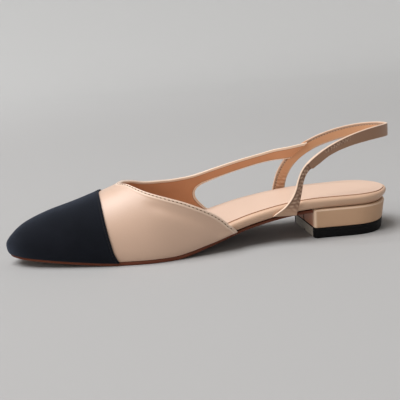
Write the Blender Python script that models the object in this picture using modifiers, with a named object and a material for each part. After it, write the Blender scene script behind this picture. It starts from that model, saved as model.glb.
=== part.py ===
# Slingback shoe for the right foot: cloth toe cap over a leather vamp, low covered block heel.
# The toe points to -X, the inner (arch) side of the foot is -Y, and the shoe stands on z = 0.
# Sizes are in millimetres and become metres as each mesh is made.

import math

import bmesh
import bpy
import numpy as np

MM = 0.001
ORIGIN = np.array([128.64, 0.4, 0.0])

TOE_TIP = 1.4
HEEL_BACK = 256.0
GAP = 0.3

WALL = 1.8
TUCK = 1.2
TOE_TUCK = 2.0
TUCK_ANGLE = math.radians(55)
CROWN = 2.3
SWELL_SHARE = 0.82

CAP_THICKNESS = 0.8
CAP_GAP = 0.32

SOCK_RECESS = 1.2

HEEL_BREAST_NEAR = 198.8
HEEL_BREAST_FAR = 197.0
TOP_PIECE_HEIGHT = 6.5
HEEL_INSET = 3.4
HEEL_CORNER = 2.3
HEEL_TOP_ROUND = 1.5
HEEL_LOW_ROUND = 0.8
HEEL_TAPER = 0.9
HEEL_SET_IN = 0.5
HEEL_RAKE = 2.0

STRAP_ROOT = 133.9
STRAP_END_TOP = 208.5
STRAP_END_BOTTOM = 196.5
STRAP_SINK = 1.25
STRAP_SINK_FROM = 182.0
STRAP_SINK_TO = 197.0

SLING_THICKNESS = 2.2
SLING_HALF_WIDTH = 27.0
SLING_CENTRE = 200.0
SLING_REACH = 55.9

PLATE_STATIONS = 40
CAP_ROWS = 14
VAMP_ROWS = 10
STRAP_ROWS = 14
SLING_STEPS = 64


def table(columns, *rows):
    """A table as one array per named column."""
    return {name: np.array([row[i] for row in rows], float) for i, name in enumerate(columns.split())}


# Widest line of the last on each side of the shoe's axis, measured back from the toe.
PLAN = table(
    "x near far",
    (1.4, 0, 0),
    (5, 8.0, 8.8),
    (12, 14.6, 16.0),
    (28, 22.2, 23.8),
    (50, 29.3, 30.5),
    (72, 34.8, 35.2),
    (95, 38.0, 38.4),
    (120, 34.8, 38.8),
    (150, 28.8, 35.6),
    (185, 25.7, 31.2),
    (205, 27.0, 30.3),
    (228, 28.6, 30.4),
    (244, 24.0, 25.3),
    (252.7, 13.4, 14.1),
    (256, 0, 0),
)

# Height of the feather line, where upper and insole meet the sole: toe spring, ball, arch, heel seat.
SEAT = table(
    "x height",
    (1.4, 8.4),
    (20, 6.7),
    (45, 4.4),
    (75, 2.5),
    (105, 2.5),
    (130, 6.9),
    (160, 14.3),
    (190, 18.8),
    (206, 19.6),
    (256, 19.6),
)

# Crest of the last: its height, and how far it leans to the arch side.
RIDGE = table(
    "x height lean",
    (1.4, 12.4, 0),
    (5, 18.3, 0),
    (12, 23.9, -0.5),
    (28, 30.7, -2.0),
    (50, 36.9, -3.5),
    (72, 44.2, -4.5),
    (95, 50.6, -5.0),
    (120, 60.0, -5.0),
    (150, 72.0, -4.0),
    (185, 86.0, -2.0),
    (205, 92.0, 0),
)

# Pattern lines on the last. Girth is 0 on the crest and 1 at the feather line of either side.
CAP_LINE = table("girth x", (0, 63.7), (0.31, 65.4), (0.555, 67.1), (0.735, 69.0), (0.87, 70.8), (1, 73.0))
NEAR_TOPLINE = table(
    "girth x",
    (0, 79.2),
    (0.123, 82.9),
    (0.22, 87.0),
    (0.322, 94.0),
    (0.401, 101.4),
    (0.461, 107.7),
    (0.517, 113.9),
    (0.594, 122.2),
    (0.641, 127.3),
    (0.689, 132.4),
    (0.764, 139.3),
    (0.82, 143.3),
    (0.9, 146.4),
    (1, 148.6),
)
FAR_TOPLINE = table(
    "girth x",
    (0, 79.2),
    (0.16, 81.7),
    (0.225, 84.3),
    (0.29, 87.5),
    (0.336, 90.9),
    (0.366, 94.3),
    (0.39, 97.7),
    (0.428, 104.7),
    (0.464, 111.8),
    (0.495, 119.6),
    (0.53, 133.4),
)
CUT_OUT_FRONT = table(
    "girth x",
    (0.63, 134.4),
    (0.64, 131.4),
    (0.66, 129.4),
    (0.69, 128.6),
    (0.72, 129.1),
    (0.76, 131.2),
    (0.82, 135.3),
    (0.9, 139.0),
    (1, 141.5),
)
OUTER_STRAP = table(
    "x top bottom",
    (133.4, 0.53, 0.63),
    (147.4, 0.54, 0.635),
    (161.8, 0.553, 0.635),
    (175.8, 0.566, 0.637),
    (190.2, 0.571, 0.648),
    (198.0, 0.574, 0.653),
    (209.0, 0.577, 0.653),
)

# Sling strap from the sole on the near side, round the heel, to the sole on the far side: its middle
# line, its width, the skew that lays its ends along the sole, and the lean that turns its front or
# top edge outwards.
SLING = table(
    "x y z width skew lean",
    (179.8, -25.0, 17.6, 11.6, 40, 0),
    (183.6, -25.2, 21.8, 8.8, 20, 6),
    (187.0, -25.7, 27.8, 6.7, 6, 18),
    (189.3, -26.0, 34.0, 5.2, 0, 26),
    (191.1, -26.2, 40.2, 4.8, 0, 28),
    (193.5, -26.5, 45.3, 5.0, 0, 28),
    (197.6, -26.9, 49.8, 5.8, 0, 28),
    (203.9, -27.0, 54.0, 6.8, 0, 28),
    (213.9, -26.2, 58.8, 7.3, 0, 26),
    (224.4, -24.2, 61.9, 7.8, 0, 20),
    (236.0, -20.4, 63.7, 8.0, 0, 10),
    (247.7, -14.0, 64.4, 8.2, 0, 3),
    (253.7, -7.5, 64.2, 8.2, 0, 0),
    (255.9, 0, 63.9, 8.2, 0, 0),
    (253.7, 7.5, 63.7, 8.2, 0, 0),
    (247.7, 14.0, 63.3, 8.2, 0, 0),
    (236.0, 20.4, 61.7, 8.0, 0, 0),
    (223.6, 24.3, 58.7, 7.8, 0, 0),
    (213.5, 26.0, 55.2, 7.6, 0, 0),
    (205.0, 26.4, 51.0, 7.6, 0, 0),
    (198.2, 26.8, 46.0, 7.8, 0, 0),
    (193.4, 27.6, 40.4, 8.0, 0, 0),
    (190.0, 28.7, 34.0, 8.2, 0, 0),
    (188.2, 29.8, 27.8, 8.4, 0, 0),
    (187.0, 30.6, 21.5, 9.0, -8, 0),
    (186.4, 31.0, 17.6, 9.8, -14, 0),
)

# Insole board: thickness, distance of its edge inside the widest line, and width of its rolled rim.
INSOLE = table(
    "x thickness inset rim",
    (1.4, 4.0, 4.8, 2.4),
    (25, 4.0, 3.6, 2.6),
    (70, 4.2, 3.5, 3.0),
    (105, 5.4, 3.1, 3.5),
    (125, 6.4, 2.7, 4.2),
    (150, 6.9, 2.45, 4.6),
    (185, 6.9, 2.45, 3.9),
    (256, 6.9, 2.45, 3.8),
)
# Outsole sheet: distance of its edge inside the widest line, and thickness.
OUTSOLE = table(
    "x inset thickness",
    (1.4, 1.4, 2.2),
    (110, 1.4, 2.2),
    (155, 3.9, 1.7),
    (256, 3.9, 1.7),
)


def smooth(xs, ys, x):
    """Curve through the rows of a table that stays flat between equal values."""
    x = np.asarray(x, float)
    span = np.diff(xs)
    slope = np.diff(ys) / span
    mean = (slope[:-1] * span[1:] + slope[1:] * span[:-1]) / (span[:-1] + span[1:])
    inner = np.where(slope[:-1] * slope[1:] > 0, mean, 0.0)
    tangent = np.concatenate([slope[:1], inner, slope[-1:]])
    i = np.clip(np.searchsorted(xs, x) - 1, 0, len(xs) - 2)
    t = (x - xs[i]) / span[i]
    rise = (1 + 2 * t) * (1 - t) ** 2 * ys[i] + t * t * (3 - 2 * t) * ys[i + 1]
    bend = t * (1 - t) ** 2 * tangent[i] + t * t * (t - 1) * tangent[i + 1]
    return rise + span[i] * bend


def station_angle(x):
    """Angle that spaces stations closely at the round ends of toe and heel."""
    share = (np.asarray(x, float) - TOE_TIP) / (HEEL_BACK - TOE_TIP)
    return np.arccos(np.clip(1 - 2 * share, -1, 1))


def station_x(angle):
    return TOE_TIP + (HEEL_BACK - TOE_TIP) * (1 - np.cos(angle)) / 2


def along(rows, column, x):
    """Value of a lengthwise table, rounded at the toe and heel ends."""
    return smooth(station_angle(rows["x"]), rows[column], station_angle(x))


def seat_height(x):
    return smooth(SEAT["x"], SEAT["height"], x)


def last_point(x, girth):
    """Outside of the upper: girth -1 is the near feather line, 0 the crest, 1 the far feather line."""
    x = np.asarray(x, float)
    girth = np.asarray(girth, float)
    share = np.abs(girth)
    half = np.where(girth < 0, -along(PLAN, "near", x), along(PLAN, "far", x))
    lean = along(RIDGE, "lean", x)
    feather = seat_height(x)
    widest = feather + 4 + 3 * np.minimum(1, np.sqrt(np.maximum(x - TOE_TIP, 0) / 30))
    turn = (1 - np.minimum(share, SWELL_SHARE) / SWELL_SHARE) * math.pi / 2
    y_over = lean + (half - lean) * np.cos(turn) ** (2 / CROWN)
    z_over = widest + (along(RIDGE, "height", x) - widest) * np.sin(turn)
    roll = np.maximum(share - SWELL_SHARE, 0) / (1 - SWELL_SHARE) * TUCK_ANGLE
    beside = np.minimum(1, np.abs(half) / 12)
    under = (1 - np.cos(roll)) / (1 - math.cos(TUCK_ANGLE))
    y_under = half - TUCK * beside * np.sign(half) * under
    z_under = widest - (widest - feather) * np.sin(roll) / math.sin(TUCK_ANGLE)
    y = np.where(share <= SWELL_SHARE, y_over, y_under)
    z = np.where(share <= SWELL_SHARE, z_over, z_under)
    return np.stack([x + TOE_TUCK * (1 - beside) * under, y, z], -1)


def outline(inset, near_from=TOE_TIP, near_to=HEEL_BACK, far_from=TOE_TIP, far_to=HEEL_BACK):
    """Near and far edge of the plan, moved inwards square to itself by a distance that may vary."""
    sides = []
    for column, side, start, end in (("near", -1, near_from, near_to), ("far", 1, far_from, far_to)):
        angle = np.linspace(station_angle(start), station_angle(end), PLATE_STATIONS)
        step = 0.002
        x = station_x(angle)
        y = side * along(PLAN, column, x)
        before = np.maximum(angle - step, 0)
        after = np.minimum(angle + step, math.pi)
        x_before = station_x(before)
        x_after = station_x(after)
        run_x = x_after - x_before
        run_y = side * (along(PLAN, column, x_after) - along(PLAN, column, x_before))
        run = np.hypot(run_x, run_y)
        depth = inset(x) if callable(inset) else inset
        sides.append(np.stack([x + depth * side * run_y / run, y - depth * side * run_x / run], -1))
    return sides


def make_object(name, collection, verts, faces, material):
    """Mesh object in metres, with coincident points joined and faces turned outwards."""
    mesh = bpy.data.meshes.new(name)
    mesh.from_pydata([tuple((np.asarray(v) - ORIGIN) * MM) for v in verts], [], faces)
    work = bmesh.new()
    work.from_mesh(mesh)
    bmesh.ops.remove_doubles(work, verts=work.verts, dist=0.000001)
    bmesh.ops.recalc_face_normals(work, faces=work.faces)
    if work.calc_volume(signed=True) < 0:
        bmesh.ops.reverse_faces(work, faces=work.faces)
    work.to_mesh(mesh)
    work.free()
    mesh.shade_smooth()
    mesh.set_sharp_from_angle(angle=math.radians(40))
    obj = bpy.data.objects.new(name, mesh)
    if material:
        mesh.materials.append(material)
    collection.objects.link(obj)
    return obj


def plate(name, collection, rings, material):
    """Closed solid through rings that each have a near and a far edge; end rings are spanned across."""
    verts = []
    faces = []
    count = len(rings[0][0])
    for near, far in rings:
        verts.extend(near)
        verts.extend(far[::-1])
    size = 2 * count
    for r in range(len(rings) - 1):
        for k in range(size):
            a = r * size + k
            b = r * size + (k + 1) % size
            faces.append((a, b, b + size, a + size))
    for base in (0, (len(rings) - 1) * size):
        for k in range(count - 1):
            faces.append((base + k, base + k + 1, base + size - 2 - k, base + size - 1 - k))
    return make_object(name, collection, verts, faces, material)


def ring(inset, height, **ends):
    """Ring of a plate: the plan moved in, at a height worked out from each point's own place."""
    return [np.column_stack([side, height(side[:, 0])]) for side in outline(inset, **ends)]


def insole_thickness(x):
    return smooth(INSOLE["x"], INSOLE["thickness"], x)


def insole_inset(x):
    return smooth(INSOLE["x"], INSOLE["inset"], x)


def rim_inset(x):
    return insole_inset(x) + smooth(INSOLE["x"], INSOLE["rim"], x)


def outsole_inset(x):
    return smooth(OUTSOLE["x"], OUTSOLE["inset"], x)


def outsole_thickness(x):
    return smooth(OUTSOLE["x"], OUTSOLE["thickness"], x)


def build_outsole(collection, material):
    ends = {"near_to": HEEL_BREAST_NEAR - 0.5, "far_to": HEEL_BREAST_FAR - 0.5}
    rings = []
    for inset, share in ((0.5, 1), (0, 0.8), (0, 0.15), (0.3, 0)):
        rings.append(
            ring(
                lambda x: outsole_inset(x) + inset,
                lambda x: seat_height(x) - GAP - share * outsole_thickness(x),
                **ends,
            )
        )
    return plate("outsole", collection, rings, material)


def build_insole(collection, material):
    """Padded board with a rolled edge and a shallow recess for the sock."""
    rings = []
    for degrees in (-90, -60, -30, 0, 30, 60, 90):
        bow = 1 - math.cos(math.radians(degrees))
        lift = 0.5 + 0.5 * math.sin(math.radians(degrees))
        rings.append(
            ring(
                lambda x: insole_inset(x) + bow * insole_thickness(x) / 2,
                lambda x: seat_height(x) + lift * insole_thickness(x),
            )
        )
    for drop in (0, SOCK_RECESS):
        rings.append(ring(rim_inset, lambda x: seat_height(x) + insole_thickness(x) - drop))
    return plate("insole", collection, rings, material)


def build_sock(collection, material):
    rings = []
    for inset, drop in ((0, SOCK_RECESS - GAP), (0, 0.25), (0.3, 0)):
        rings.append(
            ring(
                lambda x: rim_inset(x) + GAP + inset,
                lambda x: seat_height(x) + insole_thickness(x) - drop,
            )
        )
    return plate("sock", collection, rings, material)


def heel_ring(rise, height, ease):
    """Outline of the heel at a share of its height, drawn in and raked forward towards the floor."""
    inset = HEEL_INSET + HEEL_TAPER * (1 - rise) + ease
    radius = HEEL_CORNER - ease
    near_front = HEEL_BREAST_NEAR + ease + radius
    far_front = HEEL_BREAST_FAR + ease + radius
    sides = []
    for side, edge in zip((-1, 1), outline(inset, near_from=near_front, far_from=far_front)):
        turn = np.linspace(0, math.pi / 2, 5)[:-1]
        corner_x = edge[0, 0] - radius * np.cos(turn)
        corner_y = edge[0, 1] - side * radius * (1 - np.sin(turn))
        edge = np.vstack([np.column_stack([corner_x, corner_y]), edge])
        share = (edge[:, 0] - HEEL_BREAST_NEAR) / (HEEL_BACK - HEEL_BREAST_NEAR)
        x = edge[:, 0] - (HEEL_SET_IN + HEEL_RAKE * (1 - rise)) * np.clip(share, 0, 1)
        sides.append(np.column_stack([x, edge[:, 1], height(x)]))
    return sides


def build_heel(collection, leather, rubber):
    """Block under the heel seat and the rubber piece it walks on, both with eased edges."""
    total = float(seat_height(HEEL_BACK))
    low = TOP_PIECE_HEIGHT + GAP
    block = []
    for lift, ease in ((0, 1), (0.3, 0.3), (1, 0)):
        level = low + lift * HEEL_LOW_ROUND
        block.append(heel_ring(level / total, lambda x: np.full_like(x, level), ease * HEEL_LOW_ROUND))
    for drop, ease in ((1, 0), (0.3, 0.3), (0, 1)):
        down = GAP + drop * HEEL_TOP_ROUND
        block.append(heel_ring(1, lambda x: seat_height(x) - down, ease * HEEL_TOP_ROUND))
    plate("heel_block", collection, block, leather)
    piece = []
    for level, ease in ((0, 0.4), (0.4, 0), (TOP_PIECE_HEIGHT - 0.3, 0), (TOP_PIECE_HEIGHT, 0.3)):
        piece.append(heel_ring(level / total, lambda x: np.full_like(x, level), ease))
    plate("top_piece", collection, piece, rubber)


NEAR_COLUMNS = (1, 0.94, 0.88, 0.82, 0.76, 0.69, 0.62, 0.55, 0.48, 0.41, 0.34, 0.26, 0.18, 0.09)
FAR_COLUMNS = (0.08, 0.16, 0.24, 0.305, 0.36, 0.4, 0.435, 0.465, 0.495, 0.53)
STRAP_COLUMNS = (0.53, 0.563, 0.597, 0.63)
SIDE_COLUMNS = (0.64, 0.66, 0.69, 0.72, 0.76, 0.82, 0.88, 0.94, 1)


def column_list():
    """Girth, cap line and back edge of every pattern line that runs from the toe over the vamp."""
    columns = []
    for girth in NEAR_COLUMNS:
        columns.append((-girth, smooth(NEAR_TOPLINE["girth"], NEAR_TOPLINE["x"], girth)))
    columns.append((0.0, NEAR_TOPLINE["x"][0]))
    for girth in FAR_COLUMNS:
        columns.append((girth, smooth(FAR_TOPLINE["girth"], FAR_TOPLINE["x"], girth)))
    for girth in STRAP_COLUMNS[1:-1]:
        columns.append((girth, STRAP_ROOT))
    for girth in STRAP_COLUMNS[-1:] + SIDE_COLUMNS:
        columns.append((girth, smooth(CUT_OUT_FRONT["girth"], CUT_OUT_FRONT["x"], girth)))
    return [(g, float(smooth(CAP_LINE["girth"], CAP_LINE["x"], abs(g))), float(end)) for g, end in columns]


def cap_grid(columns):
    """Rows of points from the tip of the toe to the cap line."""
    rows = []
    for k in range(CAP_ROWS + 1):
        share = 1 - math.cos(math.pi / 2 * k / CAP_ROWS)
        rows.append([last_point(TOE_TIP + (cap - TOE_TIP) * share, girth) for girth, cap, end in columns])
    return rows


def grid_faces(row_count, column_count):
    faces = []
    for r in range(row_count - 1):
        for c in range(column_count - 1):
            a = r * column_count + c
            faces.append((a, a + 1, a + column_count + 1, a + column_count))
    return faces


def add_thickness(obj, thickness, offset):
    solid = obj.modifiers.new("thickness", "SOLIDIFY")
    solid.thickness = thickness * MM
    solid.offset = offset
    solid.use_even_offset = True
    solid.use_rim = True


def strap_point(share, down):
    """Point of the outer strap; its end is cut on the slant and sinks to lie inside the sling."""
    end = STRAP_END_TOP + (STRAP_END_BOTTOM - STRAP_END_TOP) * down
    x = STRAP_ROOT + (end - STRAP_ROOT) * share
    top = smooth(OUTER_STRAP["x"], OUTER_STRAP["top"], x)
    bottom = smooth(OUTER_STRAP["x"], OUTER_STRAP["bottom"], x)
    point = last_point(x, top + (bottom - top) * down)
    sunk = np.clip((x - STRAP_SINK_FROM) / (STRAP_SINK_TO - STRAP_SINK_FROM), 0, 1)
    point[1] -= STRAP_SINK * sunk * sunk * (3 - 2 * sunk)
    return point


def build_vamp(collection, material):
    """Vamp and outer strap as one open sheet on the last, given its wall inwards."""
    columns = column_list()
    rows = cap_grid(columns)
    for k in range(1, VAMP_ROWS + 1):
        share = k / VAMP_ROWS
        rows.append([last_point(cap + (end - cap) * share, girth) for girth, cap, end in columns])
    verts = [point for row in rows for point in row]
    faces = grid_faces(len(rows), len(columns))
    first = (len(rows) - 1) * len(columns) + len(NEAR_COLUMNS) + len(FAR_COLUMNS)
    last_row = list(range(first, first + len(STRAP_COLUMNS)))
    for k in range(1, STRAP_ROWS + 1):
        new_row = list(range(len(verts), len(verts) + len(STRAP_COLUMNS)))
        for c in range(len(STRAP_COLUMNS)):
            verts.append(strap_point(k / STRAP_ROWS, c / (len(STRAP_COLUMNS) - 1)))
        for c in range(len(STRAP_COLUMNS) - 1):
            faces.append((last_row[c], last_row[c + 1], new_row[c + 1], new_row[c]))
        last_row = new_row
    upper = make_object("upper", collection, verts, faces, material)
    add_thickness(upper, WALL, -1)
    return upper


def build_toe_cap(collection, material):
    """Cap laid over the vamp, from the vamp's own rows of points."""
    columns = column_list()
    rows = cap_grid(columns)
    verts = [point for row in rows for point in row]
    cap = make_object("toe_cap", collection, verts, grid_faces(len(rows), len(columns)), material)
    add_thickness(cap, CAP_THICKNESS, 1 + 2 * CAP_GAP / CAP_THICKNESS)
    return cap


def build_sling(collection):
    """Sling strap as one ribbon: an oblong section with eased corners, facing away from the heel."""
    rows = np.column_stack([SLING["x"], SLING["y"], SLING["z"]])
    chord = np.concatenate([[0], np.cumsum(np.linalg.norm(np.diff(rows, axis=0), axis=1))])
    steps = np.linspace(0, chord[-1], SLING_STEPS)
    path = np.column_stack([smooth(chord, rows[:, k], steps) for k in range(3)])
    widths = smooth(chord, SLING["width"], steps)
    skews = np.tan(np.radians(smooth(chord, SLING["skew"], steps)))
    lean = np.radians(smooth(chord, SLING["lean"], steps))[:, None]
    run = np.gradient(path, axis=0)
    run /= np.linalg.norm(run, axis=1, keepdims=True)
    behind = np.maximum(path[:, 0] - SLING_CENTRE, 0) / SLING_REACH**2
    face = np.column_stack([behind, path[:, 1] / SLING_HALF_WIDTH**2, 0 * behind])
    face = face - run * (face * run).sum(1, keepdims=True)
    face /= np.linalg.norm(face, axis=1, keepdims=True)
    level = np.cross(run, face)
    across = level * np.cos(lean) - face * np.sin(lean)
    face = face * np.cos(lean) + level * np.sin(lean)
    half = SLING_THICKNESS / 2
    ease = half / 2
    corners = (
        (1, 0, -ease),
        (1, 0, ease),
        (1, ease, half),
        (-1, ease, half),
        (-1, 0, ease),
        (-1, 0, -ease),
        (-1, ease, -half),
        (1, ease, -half),
    )
    verts = []
    for centre, out, over, ahead, width, skew in zip(path, face, across, run, widths, skews):
        for side, inset, depth in corners:
            aside = side * (width / 2 - inset)
            verts.append(centre + over * aside + ahead * aside * skew + out * depth)
    faces = []
    size = len(corners)
    for r in range(len(path) - 1):
        for k in range(size):
            a = r * size + k
            b = r * size + (k + 1) % size
            faces.append((a, b, b + size, a + size))
    faces.append(tuple(range(size)))
    faces.append(tuple(range((len(path) - 1) * size, len(path) * size)))
    return make_object("sling", collection, verts, faces, None)


def join(obj, tool):
    union = obj.modifiers.new("join_" + tool.name, "BOOLEAN")
    union.operation = "UNION"
    union.solver = "EXACT"
    union.object = tool
    tool.hide_render = True
    tool.display_type = "WIRE"


def make_material(name, colour, roughness):
    material = bpy.data.materials.new(name)
    material.use_nodes = True
    shader = material.node_tree.nodes["Principled BSDF"]
    shader.inputs["Base Color"].default_value = (*colour, 1)
    shader.inputs["Roughness"].default_value = roughness
    shader.inputs["Metallic"].default_value = 0
    return material


def main():
    for obj in list(bpy.data.objects):
        bpy.data.objects.remove(obj, do_unlink=True)
    shoe = bpy.data.collections.new("slingback_shoe")
    tools = bpy.data.collections.new("joining_tools")
    bpy.context.scene.collection.children.link(shoe)
    bpy.context.scene.collection.children.link(tools)

    build_outsole(shoe, make_material("brown_leather", (0.07, 0.035, 0.02), 0.6))
    build_insole(shoe, make_material("pale_leather", (0.68, 0.48, 0.33), 0.45))
    build_sock(shoe, make_material("sock_leather", (0.72, 0.53, 0.38), 0.5))
    build_heel(
        shoe,
        make_material("covered_heel", (0.5, 0.33, 0.22), 0.45),
        make_material("black_rubber", (0.012, 0.012, 0.012), 0.7),
    )
    upper = build_vamp(shoe, make_material("upper_leather", (0.66, 0.46, 0.32), 0.42))
    join(upper, build_sling(tools))
    build_toe_cap(shoe, make_material("black_cloth", (0.015, 0.017, 0.025), 0.8))


main()
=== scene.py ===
import math

import bpy
import numpy as np
from mathutils import Matrix, Vector
from mathutils.bvhtree import BVHTree
from mathutils.kdtree import KDTree


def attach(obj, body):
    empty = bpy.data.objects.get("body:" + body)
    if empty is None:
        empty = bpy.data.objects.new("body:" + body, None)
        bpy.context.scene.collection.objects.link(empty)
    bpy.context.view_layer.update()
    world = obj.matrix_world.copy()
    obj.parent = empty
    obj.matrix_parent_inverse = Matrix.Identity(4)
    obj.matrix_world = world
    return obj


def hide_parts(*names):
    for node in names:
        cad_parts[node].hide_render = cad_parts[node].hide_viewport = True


# Slingback for the right foot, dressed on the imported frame.
# Sizes are in millimetres measured back from the toe, as the pattern is cut; meshes are made in metres.
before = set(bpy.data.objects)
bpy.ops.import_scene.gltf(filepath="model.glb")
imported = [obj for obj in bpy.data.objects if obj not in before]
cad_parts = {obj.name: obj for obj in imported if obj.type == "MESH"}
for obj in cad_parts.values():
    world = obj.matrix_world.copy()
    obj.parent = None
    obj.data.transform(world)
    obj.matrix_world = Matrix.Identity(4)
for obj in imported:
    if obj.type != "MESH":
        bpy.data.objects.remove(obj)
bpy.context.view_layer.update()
print("frame loaded:", ", ".join(sorted(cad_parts)))

metres = 0.001
smallest = 1e-12  # keeps a division by a length safe
origin = np.array([128.64, 0.4, 0.0])  # floor point under the middle of the shoe
lastShape = {
    "toeTip": 1.4, "heelBack": 256.0, "crown": 2.3, "swell": 0.82, "gap": 0.3,
    "tuck": 1.2, "toeTuck": 1.0, "tuckAngle": math.radians(55), "fullBreadth": 12.0,
    "widestRise": 4.0, "widestGrowth": 3.0, "growthLength": 30.0,
    "featherGirth": 0.999, "aboveSole": 30.0, "slopeStep": 0.002, "meeting": 0.5, "weldsPerMm": 2000,
}


def tableOf(columns, *rows):
    return {name: np.array([row[i] for row in rows], float) for i, name in enumerate(columns.split())}


# widest line of the last on each side of the axis
plan = tableOf(
    "x near far",
    (1.4, 0, 0), (5, 8.0, 8.8), (12, 14.6, 16.0), (28, 22.2, 23.8), (50, 29.3, 30.5), (72, 34.8, 35.2),
    (95, 38.0, 38.4), (120, 34.8, 38.8), (150, 28.8, 35.6), (185, 25.7, 31.2), (205, 27.0, 30.3),
    (228, 28.6, 30.4), (244, 24.0, 25.3), (252.7, 13.4, 14.1), (256, 0, 0),
)
# feather line: toe spring, ball, arch, heel seat
seat = tableOf(
    "x height",
    (1.4, 8.4), (20, 6.7), (45, 4.4), (75, 2.5), (105, 2.5), (130, 6.9), (160, 14.3), (190, 18.8),
    (206, 19.6), (256, 19.6),
)
# crest of the last and its lean to the arch side
ridge = tableOf(
    "x height lean",
    (1.4, 12.4, 0), (5, 18.3, 0), (12, 23.9, -0.5), (28, 30.7, -2.0), (50, 36.9, -3.5), (72, 44.2, -4.5),
    (79, 46.8, -4.7), (95, 50.7, -5.0), (120, 60.0, -5.0), (150, 72.0, -4.0), (185, 86.0, -2.0),
    (205, 92.0, 0),
)
# pattern lines by girth: 0 on the crest, 1 at the feather line
capLine = tableOf("girth x", (0, 63.7), (0.31, 65.4), (0.555, 67.1), (0.735, 69.0), (0.87, 70.8), (1, 73.0))
nearTopline = tableOf(
    "girth x",
    (0, 77.5), (0.015, 77.65), (0.045, 79.0), (0.115, 82.7), (0.207, 87.0), (0.317, 94.0), (0.401, 101.4),
    (0.461, 107.7), (0.517, 113.9), (0.594, 122.2), (0.641, 127.3), (0.689, 132.4), (0.764, 139.3),
    (0.82, 143.3), (0.9, 146.4), (1, 148.6),
)
farTopline = tableOf(
    "girth x",
    (0, 77.5), (0.018, 77.6), (0.08, 79.0), (0.195, 81.7), (0.245, 84.3), (0.29, 87.5), (0.336, 90.9),
    (0.366, 94.3), (0.39, 97.7), (0.428, 104.7), (0.464, 111.8), (0.495, 119.6), (0.5125, 125.0),
    (0.522, 130.0), (0.5255, 133.4),
)
cutOutFront = tableOf(
    "girth x",
    (0.63, 134.4), (0.64, 131.4), (0.66, 129.4), (0.69, 128.6), (0.72, 129.1), (0.76, 131.2), (0.82, 135.3),
    (0.9, 139.0), (1, 141.5),
)
outerStrap = tableOf(
    "x top bottom",
    (133.4, 0.5255, 0.63), (140.0, 0.531, 0.628), (147.4, 0.5385, 0.6275), (161.8, 0.553, 0.632),
    (175.8, 0.566, 0.637), (190.2, 0.571, 0.648), (198.0, 0.574, 0.653), (209.0, 0.577, 0.653),
)
# sling strap from the sole on the near side, round the heel, to the sole on the far side
slingLine = tableOf(
    "x y z width skew lean",
    (179.8, -25.0, 17.6, 11.6, 40, 0), (183.6, -25.2, 21.8, 8.8, 20, 6), (187.0, -25.7, 27.8, 6.7, 6, 18),
    (189.3, -26.0, 34.0, 5.2, 0, 26), (191.1, -26.2, 40.2, 4.8, 0, 28), (193.5, -26.5, 45.3, 5.0, 0, 28),
    (197.6, -26.9, 49.8, 5.8, 0, 28), (203.9, -27.0, 54.0, 6.8, 0, 28), (213.9, -26.2, 58.8, 7.3, 0, 26),
    (224.4, -24.2, 61.9, 7.8, 0, 20), (236.0, -20.4, 63.7, 8.0, 0, 10), (247.7, -14.0, 64.4, 8.2, 0, 3),
    (253.7, -7.5, 64.2, 8.2, 0, 0), (255.9, 0, 63.9, 8.2, 0, 0), (253.7, 7.5, 63.7, 8.2, 0, 0),
    (247.7, 14.0, 63.3, 8.2, 0, 0), (236.0, 20.4, 61.7, 8.0, 0, 0), (223.6, 24.3, 58.7, 7.8, 0, 0),
    (213.5, 26.0, 55.2, 7.6, 0, 0), (205.0, 26.4, 51.0, 7.6, 0, 0), (198.2, 26.8, 46.0, 7.8, 0, 0),
    (193.4, 27.6, 40.4, 8.0, 0, 0), (190.0, 28.7, 34.0, 8.2, 0, 0), (188.2, 29.8, 27.8, 8.4, 0, 0),
    (187.0, 30.6, 21.5, 9.0, -8, 0), (186.4, 31.0, 17.6, 9.8, -14, 0),
)
insoleBoard = tableOf(
    "x thickness inset rim",
    (1.4, 4.0, 4.8, 2.4), (25, 4.0, 3.6, 2.6), (70, 4.2, 3.5, 3.0), (105, 5.4, 3.1, 3.5),
    (125, 6.4, 2.7, 4.2), (150, 6.9, 2.45, 4.6), (185, 6.9, 2.45, 3.9), (228, 6.9, 2.45, 3.8),
    (244, 6.9, 2.45, 3.0), (252, 6.9, 2.45, 2.0), (256, 6.9, 2.45, 1.5),
)
outsoleSheet = tableOf(
    "x inset thickness",
    (1.4, 1.0, 2.2), (110, 1.0, 2.2), (155, 3.9, 1.7), (256, 3.9, 1.7),
)


# curves and the last's own surface

def smooth(xs, ys, x):
    x = np.asarray(x, float)
    span = np.diff(xs)
    slope = np.diff(ys) / span
    mean = (slope[:-1] * span[1:] + slope[1:] * span[:-1]) / (span[:-1] + span[1:])
    inner = np.where(slope[:-1] * slope[1:] > 0, mean, 0.0)  # flat between equal values
    tangent = np.concatenate([slope[:1], inner, slope[-1:]])
    i = np.clip(np.searchsorted(xs, x) - 1, 0, len(xs) - 2)
    t = (x - xs[i]) / span[i]
    rise = (1 + 2 * t) * (1 - t) ** 2 * ys[i] + t * t * (3 - 2 * t) * ys[i + 1]
    bend = t * (1 - t) ** 2 * tangent[i] + t * t * (t - 1) * tangent[i + 1]
    return rise + span[i] * bend


def ease(low, high, value):  # soft step from 0 at low to 1 at high
    t = np.clip((value - low) / (high - low), 0, 1)
    return t * t * (3 - 2 * t)


def riseAndFall(start, end, value):  # up over one range, down over another
    return ease(*start, value) * (1 - ease(*end, value))


def dip(value, centre, width):
    return np.exp(-(((value - centre) / width) ** 2))


def beyond(value, line, groove):  # a groove with its distance past a line and its width
    return dip(value, line + groove[0], groove[1])


def between(pair, share):
    return pair[0] + (pair[1] - pair[0]) * share


def unit(vectors):
    return vectors / np.maximum(np.linalg.norm(vectors, axis=-1, keepdims=True), smallest)


def refine(values, pieces):
    parts = [np.linspace(a, b, pieces, endpoint=False) for a, b in zip(values[:-1], values[1:])]
    return np.concatenate(parts + [[values[-1]]])


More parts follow.
